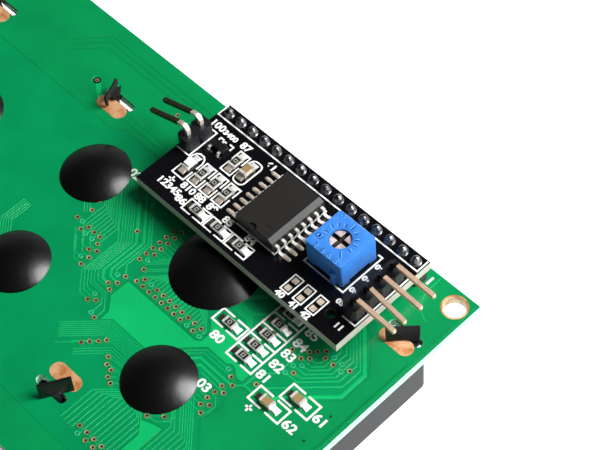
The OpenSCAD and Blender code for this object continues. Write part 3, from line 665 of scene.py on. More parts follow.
    # driver on the right: upper side
    tracks += [
        (thin, [(24.6, -3.5), (24.6, -2.95), (26.65, -0.9), (31.0, -0.9)]),
        (thin, [(25.2, -3.5), (25.2, -3.0), (26.75, -1.5), (32.2, -1.5)]),
        (thick, [(25.9, -3.5), (26.9, -2.35), (33.3, -2.35)]),
        (thick, [(27.4, -3.5), (27.8, -3.1), (32.3, -3.25)]),
        (middle, [(28.6, -3.8), (33.3, -3.85)]), (thin, [(29.8, -4.6), (32.3, -4.6)]),
        (thin, [(30.4, -5.1), (33.0, -5.1), (33.95, -6.05), (33.95, -7.3), (33.3, -8.1)]),
        (thin, [(30.5, -5.9), (32.2, -5.9)]), (thin, [(30.6, -6.5), (33.3, -6.5)]),
        (thin, [(30.6, -7.2), (32.3, -7.2)]), (thin, [(30.8, -8.0), (33.3, -8.1)]),
        (middle, [(33.3, -2.3), (34.45, -1.15), (34.45, 1.4), (36.3, 3.25), (36.3, 9.0)]),
        (0.3, [(34.45, -1.15), (36.6, -1.15)])]
    # left of the bias resistors
    for i in range(5):
        y = 7.6 - 0.33 * i
        turn = [(27.0 + 0.1 * i, y), (29.4, y + 2.3)] if i < 2 else [(27.2 + 0.1 * (4 - i), y),
                                                                   (28.6, y - 1.2)]
        tracks.append((0.14, [(23.6, y)] + turn))
    tracks += [(0.14, [(24.2, 8.2 + 0.35 * i), (26.6, 10.6 + 0.35 * i)]) for i in range(3)]
    # on the right, round the vias beside the adapter
    tracks += [
        (middle, [(37.9, 7.9), (38.9, 7.95), (39.5, 8.55), (39.5, 9.4)]),
        (middle, [(37.0, 7.15), (39.0, 7.2), (40.2, 8.4), (40.2, 11.7), (39.0, 12.9)]),
        (middle, [(37.9, 6.4), (39.1, 6.5), (41.0, 8.4), (41.0, 11.9), (39.0, 13.9)]),
        (middle, [(37.0, 5.6), (39.15, 5.7), (41.8, 8.35), (41.8, 11.8), (39.0, 14.6)]),
        (middle, [(37.9, 4.8), (39.2, 4.95), (42.5, 8.25), (42.5, 11.7), (39.0, 15.2)]),
        (middle, [(37.0, 4.1), (39.25, 4.15), (43.3, 8.2), (43.3, 11.5), (39.0, 15.8)]),
        (middle, [(36.4, 0.1), (44.2, 7.9), (44.2, 11.3), (39.0, 16.5)]),
        (0.5, [(38.6, 0.1), (45.15, 6.65), (45.15, 11.2), (39.5, 16.85)])]
    # arc that keeps clear of the mounting hole
    arc = [math.radians(184 + 8 * i) for i in range(10)]
    tracks += [
        (0.14, [(46.5 + 4.6 * math.cos(a), 27.5 + 4.6 * math.sin(a)) for a in arc]),
        (0.14, [(41.9, 27.2), (41.9, 29.5)])]
    # further drivers
    tracks += lower_fan(-4.4, -10.2)
    tracks += lower_fan(-31.5, 2.4)
    for x, y in ((-4.4, -10.2), (-31.5, 2.4)):
        for path in bus([(x - 4.0, y + 1.6), (x - 9.5, y + 1.6), (x - 13.0, y - 1.9)], 7, 0.34):
            tracks.append((0.14, path))
        for path in bus([(x - 3.9, y + 2.2), (x - 6.0, y + 4.3), (x - 6.0, y + 8.0)], 5, 0.4):
            tracks.append((thin, path))
    return tracks


# Where the copper areas leave the laminate free
FREE_ZONE = [
    (-42, 15.4), (-12.1, 15.4), (-10.9, 16.6), (41.2, 16.6), (45.9, 11.5), (45.9, 6.3),
    (43.3, 3.75), (39.1, 3.75), (39.1, 1.0), (38.6, 0.45), (36.1, 0.45), (36.1, -1.65),
    (34.8, -1.65), (34.0, -2.4), (34.0, -4.2), (34.7, -5.2), (34.7, -7.6), (33.9, -8.6),
    (38.0, -12.7), (38.0, -24.0), (18.0, -24.4), (-42, -24.4)]
# Copper areas inside it
ISLANDS = [
    [(10.25, -1.05), (24.35, -1.05), (25.05, -0.45), (25.05, 1.25), (23.3, 3.0), (28.65, 3.0),
     (28.65, 0.55), (33.75, 0.55), (33.75, -0.9), (33.2, -1.1), (32.3, -0.75), (31.7, -0.2),
     (31.3, -0.05), (30.6, -0.1), (30.2, -0.5), (26.35, -0.5), (24.1, -2.75), (21.0, -6.5),
     (20.0, -6.65), (13.4, -6.65), (12.1, -7.95), (12.05, -6.2), (10.2, -4.3)],
    [(28.3, -14.4), (30.0, -13.7), (31.4, -13.4), (31.4, -24.0), (29.75, -24.0), (29.75, -16.1)]]
# Channels between copper areas, each a width and a path; those at the right edge are faint
CHANNELS = [
    (0.34, [(1.0, 27.35), (-26.3, 27.35), (-31.0, 22.65)]),
    (0.34, [(1.0, 26.35), (-25.8, 26.35), (-30.3, 21.85)]),
    (0.34, [(1.0, 25.3), (-25.3, 25.3), (-29.7, 20.9)]), (0.34, [(1.0, 18.5), (-13.5, 18.5)]),
    (0.34, [(1.0, 17.6), (-13.5, 17.6)]), (1.5, [LONE_VIA, (-18.6, 18.0)])]
EDGE_CHANNELS = [
    (0.4, [(46.9, 17.3), (47.95, 16.3), (47.95, -28.9)]), (0.4, [(48.3, 25.0), (48.3, -29.3)])]
POUR_VIAS = [(46.3, 3.6), (46.3, -1.4)]

# White print of the display board: frames round parts as boxes with a gap in the middle of
# two sides, then numbers with their lower left corners
BOARD_CELLS = [(28.9, 0.65 + 2.29 * i, 33.8, 2.94 + 2.29 * i, "x", 0.7) for i in range(5)] + [
    (23.4, 3.05, 28.45, 5.35, "x", 0.6), (39.15, 1.0, 44.35, 3.7, "x", 0.6),
    (36.15, -2.1, 41.9, 0.4, "x", 0.8)]
BOARD_NUMBERS = [
    ("81", 34.25, 0.95), ("82", 34.35, 3.3), ("83", 34.35, 5.55), ("84", 34.35, 7.85),
    ("85", 34.35, 10.15), ("80", 25.0, 0.85), ("61", 44.65, 1.5), ("62", 42.3, -1.95),
    ("03", 29.4, -5.6), ("02", -4.4, 11.4), ("1", 40.5, 27.65)]
BOARD_PLUS = [[(36.8, -3.1), (38.0, -3.1)], [(37.4, -3.7), (37.4, -2.5)]]
# Chip parts, and how far each pad reaches past the end of its part
BOARD_CHIPS = {
    "oscillator_resistor": 1.05, "bias_resistor_1": 1.1, "bias_resistor_2": 1.1,
    "bias_resistor_3": 1.1, "bias_resistor_4": 1.1, "bias_resistor_5": 1.1,
    "board_capacitor_1": 1.0, "board_capacitor_2": 1.2}
ADAPTER_CHIPS = {"adapter_resistor_%d" % i: 0.95 for i in range(1, 8)}
ADAPTER_CHIPS.update({"decoupling_capacitor": 0.85, "power_led": 0.95})

# White print of the adapter board
ADAPTER_LINES = [
    [(-0.1, 28.55), (-0.1, 26.35), (40.5, 26.35), (40.5, 28.55)],
    [(1.4, 23.75), (2.45, 23.75), (2.45, 18.15), (-0.1, 18.15)],
    [(16.3, 14.75), (24.15, 14.75), (24.15, 25.0)],
    [(34.7, 24.65), (35.5, 24.65), (35.5, 16.9), (27.85, 16.9), (27.85, 18.0)],
    [(40.5, 24.8), (40.5, 14.2), (38.1, 14.2)], [(3.5, 22.9), (3.5, 23.6), (4.2, 23.6)],
    [(5.4, 23.6), (6.2, 23.6), (6.2, 22.8)], [(2.75, 16.5), (2.75, 14.6), (5.1, 14.6), (5.1, 16.5)],
    [(2.75, 17.6), (2.75, 18.4), (3.05, 19.15), (3.55, 19.5), (4.3, 19.5), (4.8, 19.15),
     (5.1, 18.4), (5.1, 17.2)]]
ADAPTER_CELLS = [
    (8.6, 11.15, 12.75, 13.25, "x", 0.5), (13.1, 11.15, 17.2, 13.25, "x", 0.5),
    (17.55, 11.15, 21.65, 13.25, "x", 0.5), (7.5, 19.75, 9.5, 23.9, "y", 0.5),
    (5.55, 15.0, 7.6, 19.0, "y", 0.5), (8.1, 15.0, 10.15, 19.0, "y", 0.5),
    (10.68, 15.0, 12.75, 19.0, "y", 0.5)]
ADAPTER_ROUND_CELL = (10.02, 19.55, 12.12, 24.15, 0.75)
ADAPTER_NUMBERS = [
    ("100", 0.15, 24.35, 1.15), ("3400", 3.0, 24.35, 0.85), ("87", 6.6, 24.35, 1.15),
    ("61", 11.9, 24.5, 1.1), ("810", 5.5, 13.6, 1.1), ("88", 8.4, 13.6, 1.15),
    ("89", 11.0, 13.6, 1.15), ("85", 14.4, 13.6, 1.15), ("84", 19.0, 13.6, 1.15),
    ("86", 6.6, 11.5, 1.15), ("12345", 2.1, 12.0, 1.15), ("40", 28.6, 10.35, 0.95),
    ("41", 31.3, 10.35, 0.95), ("42", 33.6, 10.35, 0.95), ("06", 35.75, 22.75, 0.8),
    ("04", 35.75, 20.2, 0.8), ("05", 35.75, 17.7, 0.8), ("03", 35.75, 15.15, 0.8),
    ("11", 38.2, 12.2, 0.95)]
ADAPTER_PLUS = [[(3.2, 13.6), (4.4, 13.6)], [(3.8, 13.0), (3.8, 14.2)]]
# Closed frames round the pads of the address bridges
ADDRESS_CELLS = [(28.7, 11.5, 30.3, 14.5), (31.15, 11.5, 32.75, 14.5), (33.6, 11.5, 35.2, 14.5)]
# Leads of the port expander
LEAD_COLUMNS = (14.45, 25.75)
LEAD_ROWS = [15.475 + 1.27 * i for i in range(8)]
# Angles of the marks round the trimmer's rotor in degrees, two of them longer
SCALE_MARKS = (190.8, 162, 139, 116, 90, 65, 36.7, 14.4, -11.7, -45.4)
LONG_MARKS = (90, -45.4)


# ---------- what a user may set ----------

def colour_setting(name, description, code):
    """A colour property with an sRGB default."""
    return bpy.props.FloatVectorProperty(name=name, description=description, subtype="COLOR",
                                         size=4, min=0.0, max=1.0, default=linear(code))


def length_setting(name, description, millimetres):
    """A length property with its default in millimetres."""
    return bpy.props.FloatProperty(name=name, description=description, subtype="DISTANCE",
                                   unit="LENGTH", min=0.0, precision=5, default=millimetres * MM)


class DisplaySettings(bpy.types.PropertyGroup):
    """Colours and sizes of the finishes."""
    laminate_mask: colour_setting("Laminate Mask", "Green mask where no copper lies under it",
                                  "#00864E")
    copper_mask: colour_setting("Copper Mask", "Green mask over copper areas", "#02864A")
    track_mask: colour_setting("Track Mask", "Green mask over tracks and inner copper", "#0AA85E")
    adapter_mask: colour_setting("Adapter Mask", "Black mask of the adapter", "#0A0A0E")
    trimmer: colour_setting("Trimmer", "Housing of the contrast trimmer", "#3079CE")
    copper: colour_setting("Copper", "Bare copper pads and rings", "#F4C090")
    ink: colour_setting("Print", "White print of both boards", "#F2F4F0")
    copper_height: length_setting("Copper Height", "How far copper stands up under its mask", 0.014)
    board_line: length_setting("Board Line", "Width of the display board's print", 0.3)
    adapter_line: length_setting("Adapter Line", "Width of the adapter's print", 0.25)
    via_size: length_setting("Via Size", "Outer diameter of a via's ring", 0.74)


# ---------- steps ----------

class DISPLAY_OT_stage(bpy.types.Operator):
    """Camera, floor, backdrop and soft lights"""
    bl_idname = "display.stage"
    bl_label = "Stage"

    def execute(self, context):
        scene = context.scene
        scene.view_settings.view_transform = "Standard"
        place = Vector((130.25, -65.96, 209.46)) * MM
        aim = Vector((20.96, 22.46, BOARD_TOP)) * MM
        level = (aim - place).to_track_quat("-Z", "Y").to_matrix()
        tilt = Matrix.Rotation(math.radians(-6.3), 3, "Z")
        bpy.ops.object.camera_add(location=place, rotation=(level @ tilt).to_euler())
        camera = context.object
        camera.data.lens = 102
        camera.data.sensor_width = 36
        camera.data.clip_start = 0.01
        scene.camera = camera

        # A room that is pale below and towards the lamps, and white where the camera sees it
        world = bpy.data.worlds.new("studio")
        scene.world = world
        add = open_tree(world)
        rays = add("LightPath")
        seen = add("Math", {0: rays.outputs["Is Camera Ray"],
                            1: rays.outputs["Is Transmission Ray"]}, operation="MAXIMUM")
        around = add("TexCoord").outputs["Generated"]
        height = add("SeparateXYZ", {"Vector": around}).outputs["Z"]
        room = add("ValToRGB", {"Fac": height}, [
            (at, (grey,) * 3 + (1.0,))
            for at, grey in ((0.0, 0.7), (0.16, 0.5), (0.5, 0.14), (0.75, 0.05))])
        side = add("VectorMath", {0: around, 1: (0.5, 0.3, 0.0)}, operation="DOT_PRODUCT")
        lit = add("MapRange", {"Value": side.outputs["Value"], "From Min": -0.55,
                               "From Max": 0.55, "To Min": 0.15, "To Max": 1.9})
        shaded = add("VectorMath", {0: room, "Scale": lit}, operation="SCALE")
        colour = add("Mix", {"Factor": seen, 6: shaded, 7: (1, 1, 1, 1)}, data_type="RGBA")
        add("OutputWorld", {"Surface": add("Background", {"Color": colour.outputs[2],
                                                          "Strength": 1.0})})

        bpy.ops.mesh.primitive_plane_add(size=4, location=(0, 0, -0.00005))
        floor = context.object
        floor.name = "floor"
        # Matt paper: takes the shadow, and looks almost white to the camera
        material = bpy.data.materials.new("pale_floor")
        add = open_tree(material)
        glow = add("Math", {0: add("LightPath").outputs["Is Camera Ray"], 1: 0.45},
                   operation="MULTIPLY")
        both = add("AddShader", {0: add("BsdfDiffuse", {"Color": linear("#E8E8E8")}),
                                 1: add("Emission", {"Color": (1, 1, 1, 1), "Strength": glow})})
        add("OutputMaterial", {"Surface": both})
        floor.data.materials.append(material)

        middle = Vector((15, 5, 10)) * MM
        for name, direction, distance, size, power in (
                ("soft_box", (0.40, 0.52, 0.76), 0.6, 0.36, 4.5),
                ("low_strip", (0.50, 0.66, 0.53), 0.6, 0.3, 2.3),
                ("fill_panel", (0.92, 0.25, 0.3), 0.9, 0.6, 3.0)):
            spot = middle + Vector(direction).normalized() * distance
            bpy.ops.object.light_add(type="AREA", location=spot,
                                     rotation=(middle - spot).to_track_quat("-Z", "Y").to_euler())
            lamp = context.object
            lamp.name = name
            lamp.data.shape = "DISK"
            lamp.data.size = size
            lamp.data.energy = power
        return {"FINISHED"}


class DISPLAY_OT_finishes(bpy.types.Operator):
    """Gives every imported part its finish"""
    bl_idname = "display.finishes"
    bl_label = "Finishes"

    def execute(self, context):
        chosen = context.scene.module_looks
        finishes = {
            # Screened and cured mask: glossy, clouded, with the weave showing through
            "lcd_board": solder_mask("green_mask_on_laminate", chosen.laminate_mask),
            "adapter_board": solder_mask("black_mask", chosen.adapter_mask, "#C8C6BA", 0.22),
            # Stretched film and float glass: the smoothest surfaces, the film a little duller
            "front_polariser rear_polariser":
                plain_plastic("polarising_film", "#5A6B4A", 0.25, 2.0, 0.004),
            "front_glass rear_glass": plain_plastic("display_glass", "#A9BDB0", 0.08, 1.0, 0.002),
            # Layered silicone: matt, soft and grainy
            "contact_strip_upper contact_strip_lower":
                plain_plastic("zebra_elastomer", "#C9B7BC", 0.6, 3.0, 0.02),
            # Moulded nylon and acrylic: satin white, clear and glossy, satin black
            "backlight_frame backlight_board": plain_plastic("white_nylon", "#E9E9E2", 0.5, 3.0),
            "light_guide": plain_plastic("acrylic_guide", "#D9E29A", 0.2, 1.0, 0.004),
            "header_spacer bus_header_block jumper_header_block":
                plain_plastic("black_nylon", "#101118", 0.42, 5.0, 0.012),
            # Moulded epoxy with mineral filler: the fine grain of a spark-eroded mould
            "expander_body": plain_plastic("moulded_epoxy", "#151210", 0.5, 9.0, 0.012),
            "transistor_body": plain_plastic("moulded_epoxy_small", "#0C0B0B", 0.4, 9.0),
            # Drawn brass under a thin flash of gold: warm, in patches. The bus pins carry painted
            # shade:
            # dark short of X 39.8, where the black block hangs over them, bright beyond
            "header_pins": bare_metal("gilded_brass", "#E8CCA8", "#C8A078", 0.35),
            "bus_header_pins": two_zone("brass_painted_shade_by_block", "X", 39.8, "#1A1410", "#D4B49A",
                                        metallic=0.55, spread=0.16),
            # Solder set from the melt is bright and dark in turns; plated tin is pale and even
            "board_joints adapter_joints backlight_leads":
                bare_metal("bright_solder", "#8E8E90", "#242428", 0.3, 1.6),
            "expander_leads trimmer_legs transistor_legs":
                bare_metal("tinned_lead", "#FFFFFC", "#E8E4DC", 0.55, 1.2, metallic=0.75),
            "trimmer_rotor": plain_plastic("rotor_core", "#D2C4C8", 0.45),
            # Pressed and fired alumina: a dry, even white
            "trimmer_base": plain_plastic("alumina", "#E6E0D2", 0.5),
            "power_led": end_capped("lamp_epoxy", "power_led", "#F8F6EE", "#E4E2DC", half=0.84,
                                    roughness=0.25)}
        for name in [*BOARD_CHIPS, *ADAPTER_CHIPS]:
            if "resistor" in name:
                body, side = "#121214", "#ECEAE4"
            else:
                # Capacitors: a tan top, and cream sides that are a painted highlight
                body, side = "#9A7E54", "#F0E2C8"
            if name not in finishes:
                finishes[name] = end_capped("tinned_" + name, name, body, "#F0EEEA", side=side)
        for names, finish in finishes.items():
            for name in names.split():
                slots = NODES[name].data.materials
                slots.clear()
                slots.append(finish)
        return {"FINISHED"}


class DISPLAY_OT_domes(bpy.types.Operator):
    """Poured epoxy domes: low caps with a slightly wandering rim"""
    bl_idname = "display.domes"
    bl_label = "Resin Domes"

    def execute(self, context):
        # Poured and baked: a smooth satin skin with slow waves about 3 mm long
        epoxy = plain_plastic("glob_top_epoxy", "#050404", 0.3, 0.35, 0.05)
        rim = (BOARD_TOP - 0.03) * MM
        for turn, name in enumerate(["controller_blob", "driver_blob_1", "driver_blob_2",
                                     "driver_blob_3", "driver_blob_4"]):
            low, high = box_mm(name)
            middle = (low + high) / 2
            radius = (high.x - low.x) / 2
            height = high.z - low.z
            ball = (radius ** 2 + height ** 2) / (2 * height)
            bpy.ops.mesh.primitive_uv_sphere_add(
                segments=72, ring_count=96, radius=ball * MM,
                location=Vector((middle.x, middle.y, high.z - ball)) * MM)
            made = bpy.context.object
            with Editing(made) as mesh:
                bpy.ops.mesh.select_all(action="SELECT")
                bpy.ops.mesh.bisect(plane_co=(0, 0, rim), plane_no=(0, 0, 1), clear_inner=True,
                                    use_fill=True)
                for vertex in mesh.verts:
                    angle = math.atan2(vertex.co.y, vertex.co.x) + turn
                    reach = 0.99 + 0.007 * math.sin(3 * angle) + 0.003 * math.sin(5 * angle)
                    vertex.co.x *= reach
                    vertex.co.y *= reach
            finish_piece(made, name + "_cap", epoxy, replaces=[name], smooth=40)
        return {"FINISHED"}


class DISPLAY_OT_bezel(bpy.types.Operator):
    """Steel bezel, one of its tabs twisted and leaned further than the others"""
    bl_idname = "display.bezel"
    bl_label = "Bezel"

    def execute(self, context):
        far_tab = Vector((-17.0, 19.7, BOARD_TOP)) * MM
        near_tab = Vector((45.7, 19.7, BOARD_TOP)) * MM
        along = Vector((math.cos(math.radians(49)), math.sin(math.radians(49)), 0))
        straight = Matrix.Rotation(math.radians(-109), 3, "Z")
        twisted = Matrix.Rotation(math.radians(-61), 3, "Z")
        head_reach = 3.2 * MM
        above_board = 0.05 * MM
        made = node_copy("bezel")
        with Editing(made) as mesh:
            for vertex in mesh.verts:
                # the far tab: its head is laid down under the arms that take its place
                off = vertex.co - far_tab
                if off.z > above_board and off.xy.length < head_reach:
                    local = straight @ off
                    local.x *= 0.2
                    vertex.co = far_tab + twisted @ local
                    vertex.co.z = far_tab.z + 0.02 * MM
                # the near tab, at the header: its free end dips towards the slot
                off = vertex.co - near_tab
                out = off.dot(along) / (2.4 * MM)
                if off.z > above_board and off.xy.length < head_reach and 0.1 < out < 1.2:
                    if off.z > 1.2 * MM:
                        vertex.co.z -= 0.85 * out * MM
                    else:
                        vertex.co += Vector((0.5, -1.2, 0)) * out * MM
        # The arms of the far tab: thin, bent apart, the near one with a prong at its end.
        # Each section is a place in X and Y, its lowest and its highest point
        sections = [(-0.86, 1.42, 1.35, 2.3), (-0.45, 0.7, 1.2, 2.3), (-0.1, 0.05, 0.0, 2.3),
                    (0.12, -0.5, 0.1, 2.3), (0.31, -1.08, 1.3, 2.3), (0.62, -1.75, 1.45, 2.3),
                    (0.72, -2.0, 0.3, 2.3), (0.82, -2.25, 0.3, 2.3)]
        arms = extruded_band([[far_tab + Vector((x, y, z)) * MM for z in (high, low)]
                              for x, y, low, high in sections])
        apply_modifier(arms, "SOLIDIFY", thickness=0.5 * MM, offset=0)
        soften(arms, 0.08)
        knot = slab([(-17.9, 19.55), (-17.75, 20.5), (-17.35, 21.0), (-16.75, 20.6),
                     (-16.2, 19.9), (-16.3, 19.1), (-16.9, 18.7), (-17.5, 18.9)],
                    BOARD_TOP + 0.03, 0.9)
        # Cold-rolled steel in stoved black, satin. Painted reflection: a paler grey below the board,
        # where its walls are seen from the side, and black above it
        steel = two_zone("stoved_steel_painted_sheen", "Z", BOARD_TOP - 0.6, "#15181D", "#030304")
        finish_piece(made, "twisted_bezel", steel, replaces=["bezel"], smooth=30)
        finish_piece([arms, knot], "bent_tab_arms",
                     plain_plastic("black_stoved_tab", "#020203", 0.6, 3.0, 0.012),
                     smooth=40)
        return {"FINISHED"}


class DISPLAY_OT_board_copper(bpy.types.Operator):
    """Copper areas and tracks of the display board under its green mask"""
    bl_idname = "display.board_copper"
    bl_label = "Board Copper"

    def execute(self, context):
        chosen = context.scene.module_looks
        z = BOARD_TOP - SUNK
        thick = SUNK + chosen.copper_height / MM
        middle = (BOARD_LOW + BOARD_HIGH) / 2
        half = (BOARD_HIGH - BOARD_LOW) / 2
        area = slab(round_pad(*middle.xy, half.x - EDGE_MARGIN, half.y - EDGE_MARGIN, 0.6), z,
                    thick)
        outlines = [circle(x, y, 2.02) for x, y in MOUNT_HOLES]
        outlines += [circle(*LONE_VIA, 0.95)]
        outlines += [round_pad(x, y, 3.15, 1.55, 1.5) for x, y in TAB_PADS]
        outlines += [round_pad(x, y, 3.0, 0.75, 0.74) for x, y in TAB_SLOTS]
        cuts = [slab(FREE_ZONE, z - 0.1, 0.4)]
        cuts += [rail(path, width, z - 0.1, 0.4) for width, path in CHANNELS]
        cuts += [slab(outline, z - 0.1, 0.4) for outline in outlines]
        for cut in cuts:
            apply_modifier(area, "BOOLEAN", operation="DIFFERENCE", object=cut, solver="EXACT")
            bpy.data.objects.remove(cut)
        islands = [slab(outline, z, thick) for outline in ISLANDS]
        islands += [rail([(-21.3, 19.85), (-18.3, 17.8)], 0.75, z, thick),
                    slab(circle(*LONE_VIA, 0.6), z, thick + 0.002)]
        # What stands lower than the copper: the mask sinks where no copper lies under it. Its darker
        # green in the channels and round the copper areas is partly thicker mask, partly painted
        # shade
        grooves = [rail(path, width * 1.2, z, SUNK + 0.006) for width, path in CHANNELS
                   if width < 1]
        grooves += [rail(outline, 0.6, z, SUNK + 0.004, True) for outline in ISLANDS]
        grooves += [rail(FREE_ZONE, 0.5, z, SUNK + 0.004, True)]
        faint = [rail(path, width, z, thick + 0.002) for width, path in EDGE_CHANNELS]
        faint += [slab(circle(x, y, 0.62, 20), z, thick + 0.002) for x, y in OPEN_VIAS]
        # Each track ends a little higher or lower than those it crosses
        tracks = [rail(path, width, z, thick + 0.004 + 0.001 * (i % 9))
                  for i, (width, path) in enumerate(driver_tracks())]
        for made, name, finish, colour in (
                (area, "copper_border", "green_mask_on_copper", chosen.copper_mask),
                (islands, "copper_islands", "green_mask_on_islands", chosen.track_mask),
                (grooves, "channels", "mask_and_painted_shade_in_channels", "#007E44"),
                (faint, "mask_hollows", "green_mask_in_hollows", "#008448"),
                (tracks, "tracks", "green_mask_on_tracks", chosen.track_mask)):
            finish_piece(made, name, solder_mask(finish, colour))
        return {"FINISHED"}


class DISPLAY_OT_vias(bpy.types.Operator):
    """Plated vias, bare pads round the tab slots and rings round the mounting holes"""
    bl_idname = "display.vias"
    bl_label = "Vias and Bare Pads"

    def execute(self, context):
        chosen = context.scene.module_looks
        size = chosen.via_size / MM
        z = BOARD_TOP - SUNK
        # Etched copper: orange, with brown patches of oxide
        bare = bare_metal("bare_copper", chosen.copper, "#B87844", 0.55, 0.5, metallic=0.6)
        rim_metal = bare_metal("via_copper", "#B4A678", "#7C6A44", 0.5, 0.9, metallic=0.5)
        # Painted shade: the floor of each open via, a flat disc just below its ring, is nearly black
        dark = plain_plastic("via_bore_painted_shade", "#0C0704", 0.8)
        green = solder_mask("green_mask_on_vias", "#007844")
        ring = solder_mask("green_mask_round_vias", "#26AC74")
        for name, places, rim, core, width in (
                ("open_vias", OPEN_VIAS, rim_metal, dark, 0.23),
                ("masked_vias", MASKED_VIAS, ring, green, 0.26)):
            bpy.ops.mesh.primitive_cylinder_add(vertices=16, radius=size / 2 * MM,
                                                depth=0.08 * MM,
                                                location=(0, 0, (BOARD_TOP + 0.02) * MM))
            made = bpy.context.object
            bpy.ops.object.transform_apply(location=True, rotation=True, scale=True)
            made.data.materials.append(rim)
            made.data.materials.append(core)
            with Editing(made) as mesh:
                pick(mesh, [f for f in mesh.faces if f.normal.z > 0.9])
                bpy.ops.mesh.inset(thickness=width * size * MM)
                bpy.ops.transform.translate(value=(0, 0, -0.03 * MM))
                for face in mesh.faces:
                    if face.select:
                        face.material_index = 1
            finish_piece(repeat(made, [(x, y, 0) for x, y in places]), name, None)
        dots = [slab(circle(x, y, 0.2, 12), z, 0.045) for x, y in POUR_VIAS]
        finish_piece(dots, "filled_vias", solder_mask("green_mask_in_vias", "#00401E"))
        pads = [slab(round_pad(x, y, 2.85, 1.25, 1.24), z, 0.05) for x, y in TAB_PADS]
        pads += [rail(circle(x, y, 1.87), 0.24, z, 0.06, True) for x, y in MOUNT_HOLES]
        finish_piece(pads, "bare_pads", bare)
        walls = [rail(circle(x, y, 1.72), 0.04, BOARD_LOW.z + 0.01, BOARD_TOP - BOARD_LOW.z, True)
                 for x, y in MOUNT_HOLES]
        finish_piece(walls, "hole_plating",
                     bare_metal("plated_wall", "#F4E2C4", "#C8AC84", 0.5, 0.6, metallic=0.6))
        # Painted shade in black: strips along the far edges of the upper slots, a plate down in the
        # slot at the header, and a lining in the tie hole
        slot_shadows = [rail([(x - 2.4, 20.4), (x + 2.5, 20.4)], 0.2, BOARD_TOP - 0.05, 0.07)
                for x, y in TAB_SLOTS if y > 0]
        slot_shadows += [rail([(44.6, 19.8), (47.0, 19.8)], 1.3, BOARD_TOP - 0.35, 0.25)]
        finish_piece(slot_shadows, "slot_shadow_strips", plain_plastic("slot_painted_shade", "#020202", 0.9))
        lining = rail(circle(36.7, 13.3, 0.77), 0.04, ADAPTER_TOP - 1.59, 1.57, True)
        finish_piece(lining, "tie_hole_shade_lining", plain_plastic("tie_hole_painted_shade", "#0A0908", 0.7))
        return {"FINISHED"}


class DISPLAY_OT_print(bpy.types.Operator):
    """White print of both boards: part frames, brackets and plain numbers"""
    bl_idname = "display.print"
    bl_label = "Board Print"

    def execute(self, context):
        chosen = context.scene.module_looks
        # Screened ink: matt, even and a little raised
        ink = plain_plastic("screen_ink", chosen.ink, 0.6, 6.0, 0.006, spread=0.04)
        bold, wide = 0.06, 1.15
        z = BOARD_TOP + 0.03
        line = chosen.board_line / MM
        flat = []
        for i, cell in enumerate(BOARD_CELLS):
            flat += [strip(path, line, z + 0.004 * (i % 2)) for path in cell_paths(*cell)]
        flat += [label(text, x, y, z, 1.4, bold, wide) for text, x, y in BOARD_NUMBERS]
        flat += [strip(path, line, z) for path in BOARD_PLUS]
        finish_piece(thicken(join(flat), 0.02), "board_print", ink)
        z = ADAPTER_TOP - 0.005
        line = chosen.adapter_line / MM
        flat = [strip(path, line, z) for path in ADAPTER_LINES]
        for cell in ADAPTER_CELLS:
            flat += [strip(path, line, z) for path in cell_paths(*cell)]
        flat += [strip(rounded(*ADAPTER_ROUND_CELL), line, z, True)]
        flat += [strip([(x0, y0), (x1, y0), (x1, y1), (x0, y1)], 0.85 * line, z, True)
                 for x0, y0, x1, y1 in ADDRESS_CELLS]
        flat += [label(text, x, y, z, height, bold, wide)
                 for text, x, y, height in ADAPTER_NUMBERS]
        flat += [strip(path, line, z) for path in ADAPTER_PLUS]
        finish_piece(thicken(join(flat), 0.02), "adapter_print", ink)
        return {"FINISHED"}


class DISPLAY_OT_joints(bpy.types.Operator):
    """Header joints of the adapter, each a steep cone of solder"""
    bl_idname = "display.joints"
    bl_label = "Header Joints"

    def execute(self, context):
        made = node_copy("adapter_joints")
        low, high = box_mm("adapter_joints")
        reach = (high.y - low.y) / 2
        pitch = (high.x - low.x - 2 * reach) / (HEADER_PINS - 1)
        slimmer = 0.76
        with Editing(made) as mesh:
            for vertex in mesh.verts:
                which = round((vertex.co.x / MM - low.x - reach) / pitch)
                middle = Vector((low.x + reach + which * pitch, low.y + reach)) * MM
                vertex.co.x = middle.x + (vertex.co.x - middle.x) * slimmer
                vertex.co.y = middle.y + (vertex.co.y - middle.y) * slimmer
        finish_piece(made, "cone_joints",
                     bare_metal("shiny_solder", "#96989A", "#1C1C20", 0.28, 1.6),
                     replaces=["adapter_joints"], smooth=60)
        return {"FINISHED"}


class DISPLAY_OT_jumper_pins(bpy.types.Operator):
    """Jumper pins with their arms drawn out, and painted reflection: dark at the far end, bright by
    the block
    """
    bl_idname = "display.jumper_pins"
    bl_label = "Jumper Pins"

    def execute(self, context):
        made = node_copy("jumper_header_pins")
        arms_end = box_mm("jumper_header_pins")[0].x + 1.0
        with Editing(made) as mesh:
            for vertex in mesh.verts:
                if vertex.co.x < arms_end * MM:
                    vertex.co.x -= 0.65 * MM
                    vertex.co.y -= 0.15 * MM
        finish_piece(made, "drawn_jumper_pins",
                     two_zone("brass_painted_reflection", "X", -0.75, "#3A2816", "#FFF4E4", metallic=0.7),
                     replaces=["jumper_header_pins"], smooth=30)
        return {"FINISHED"}


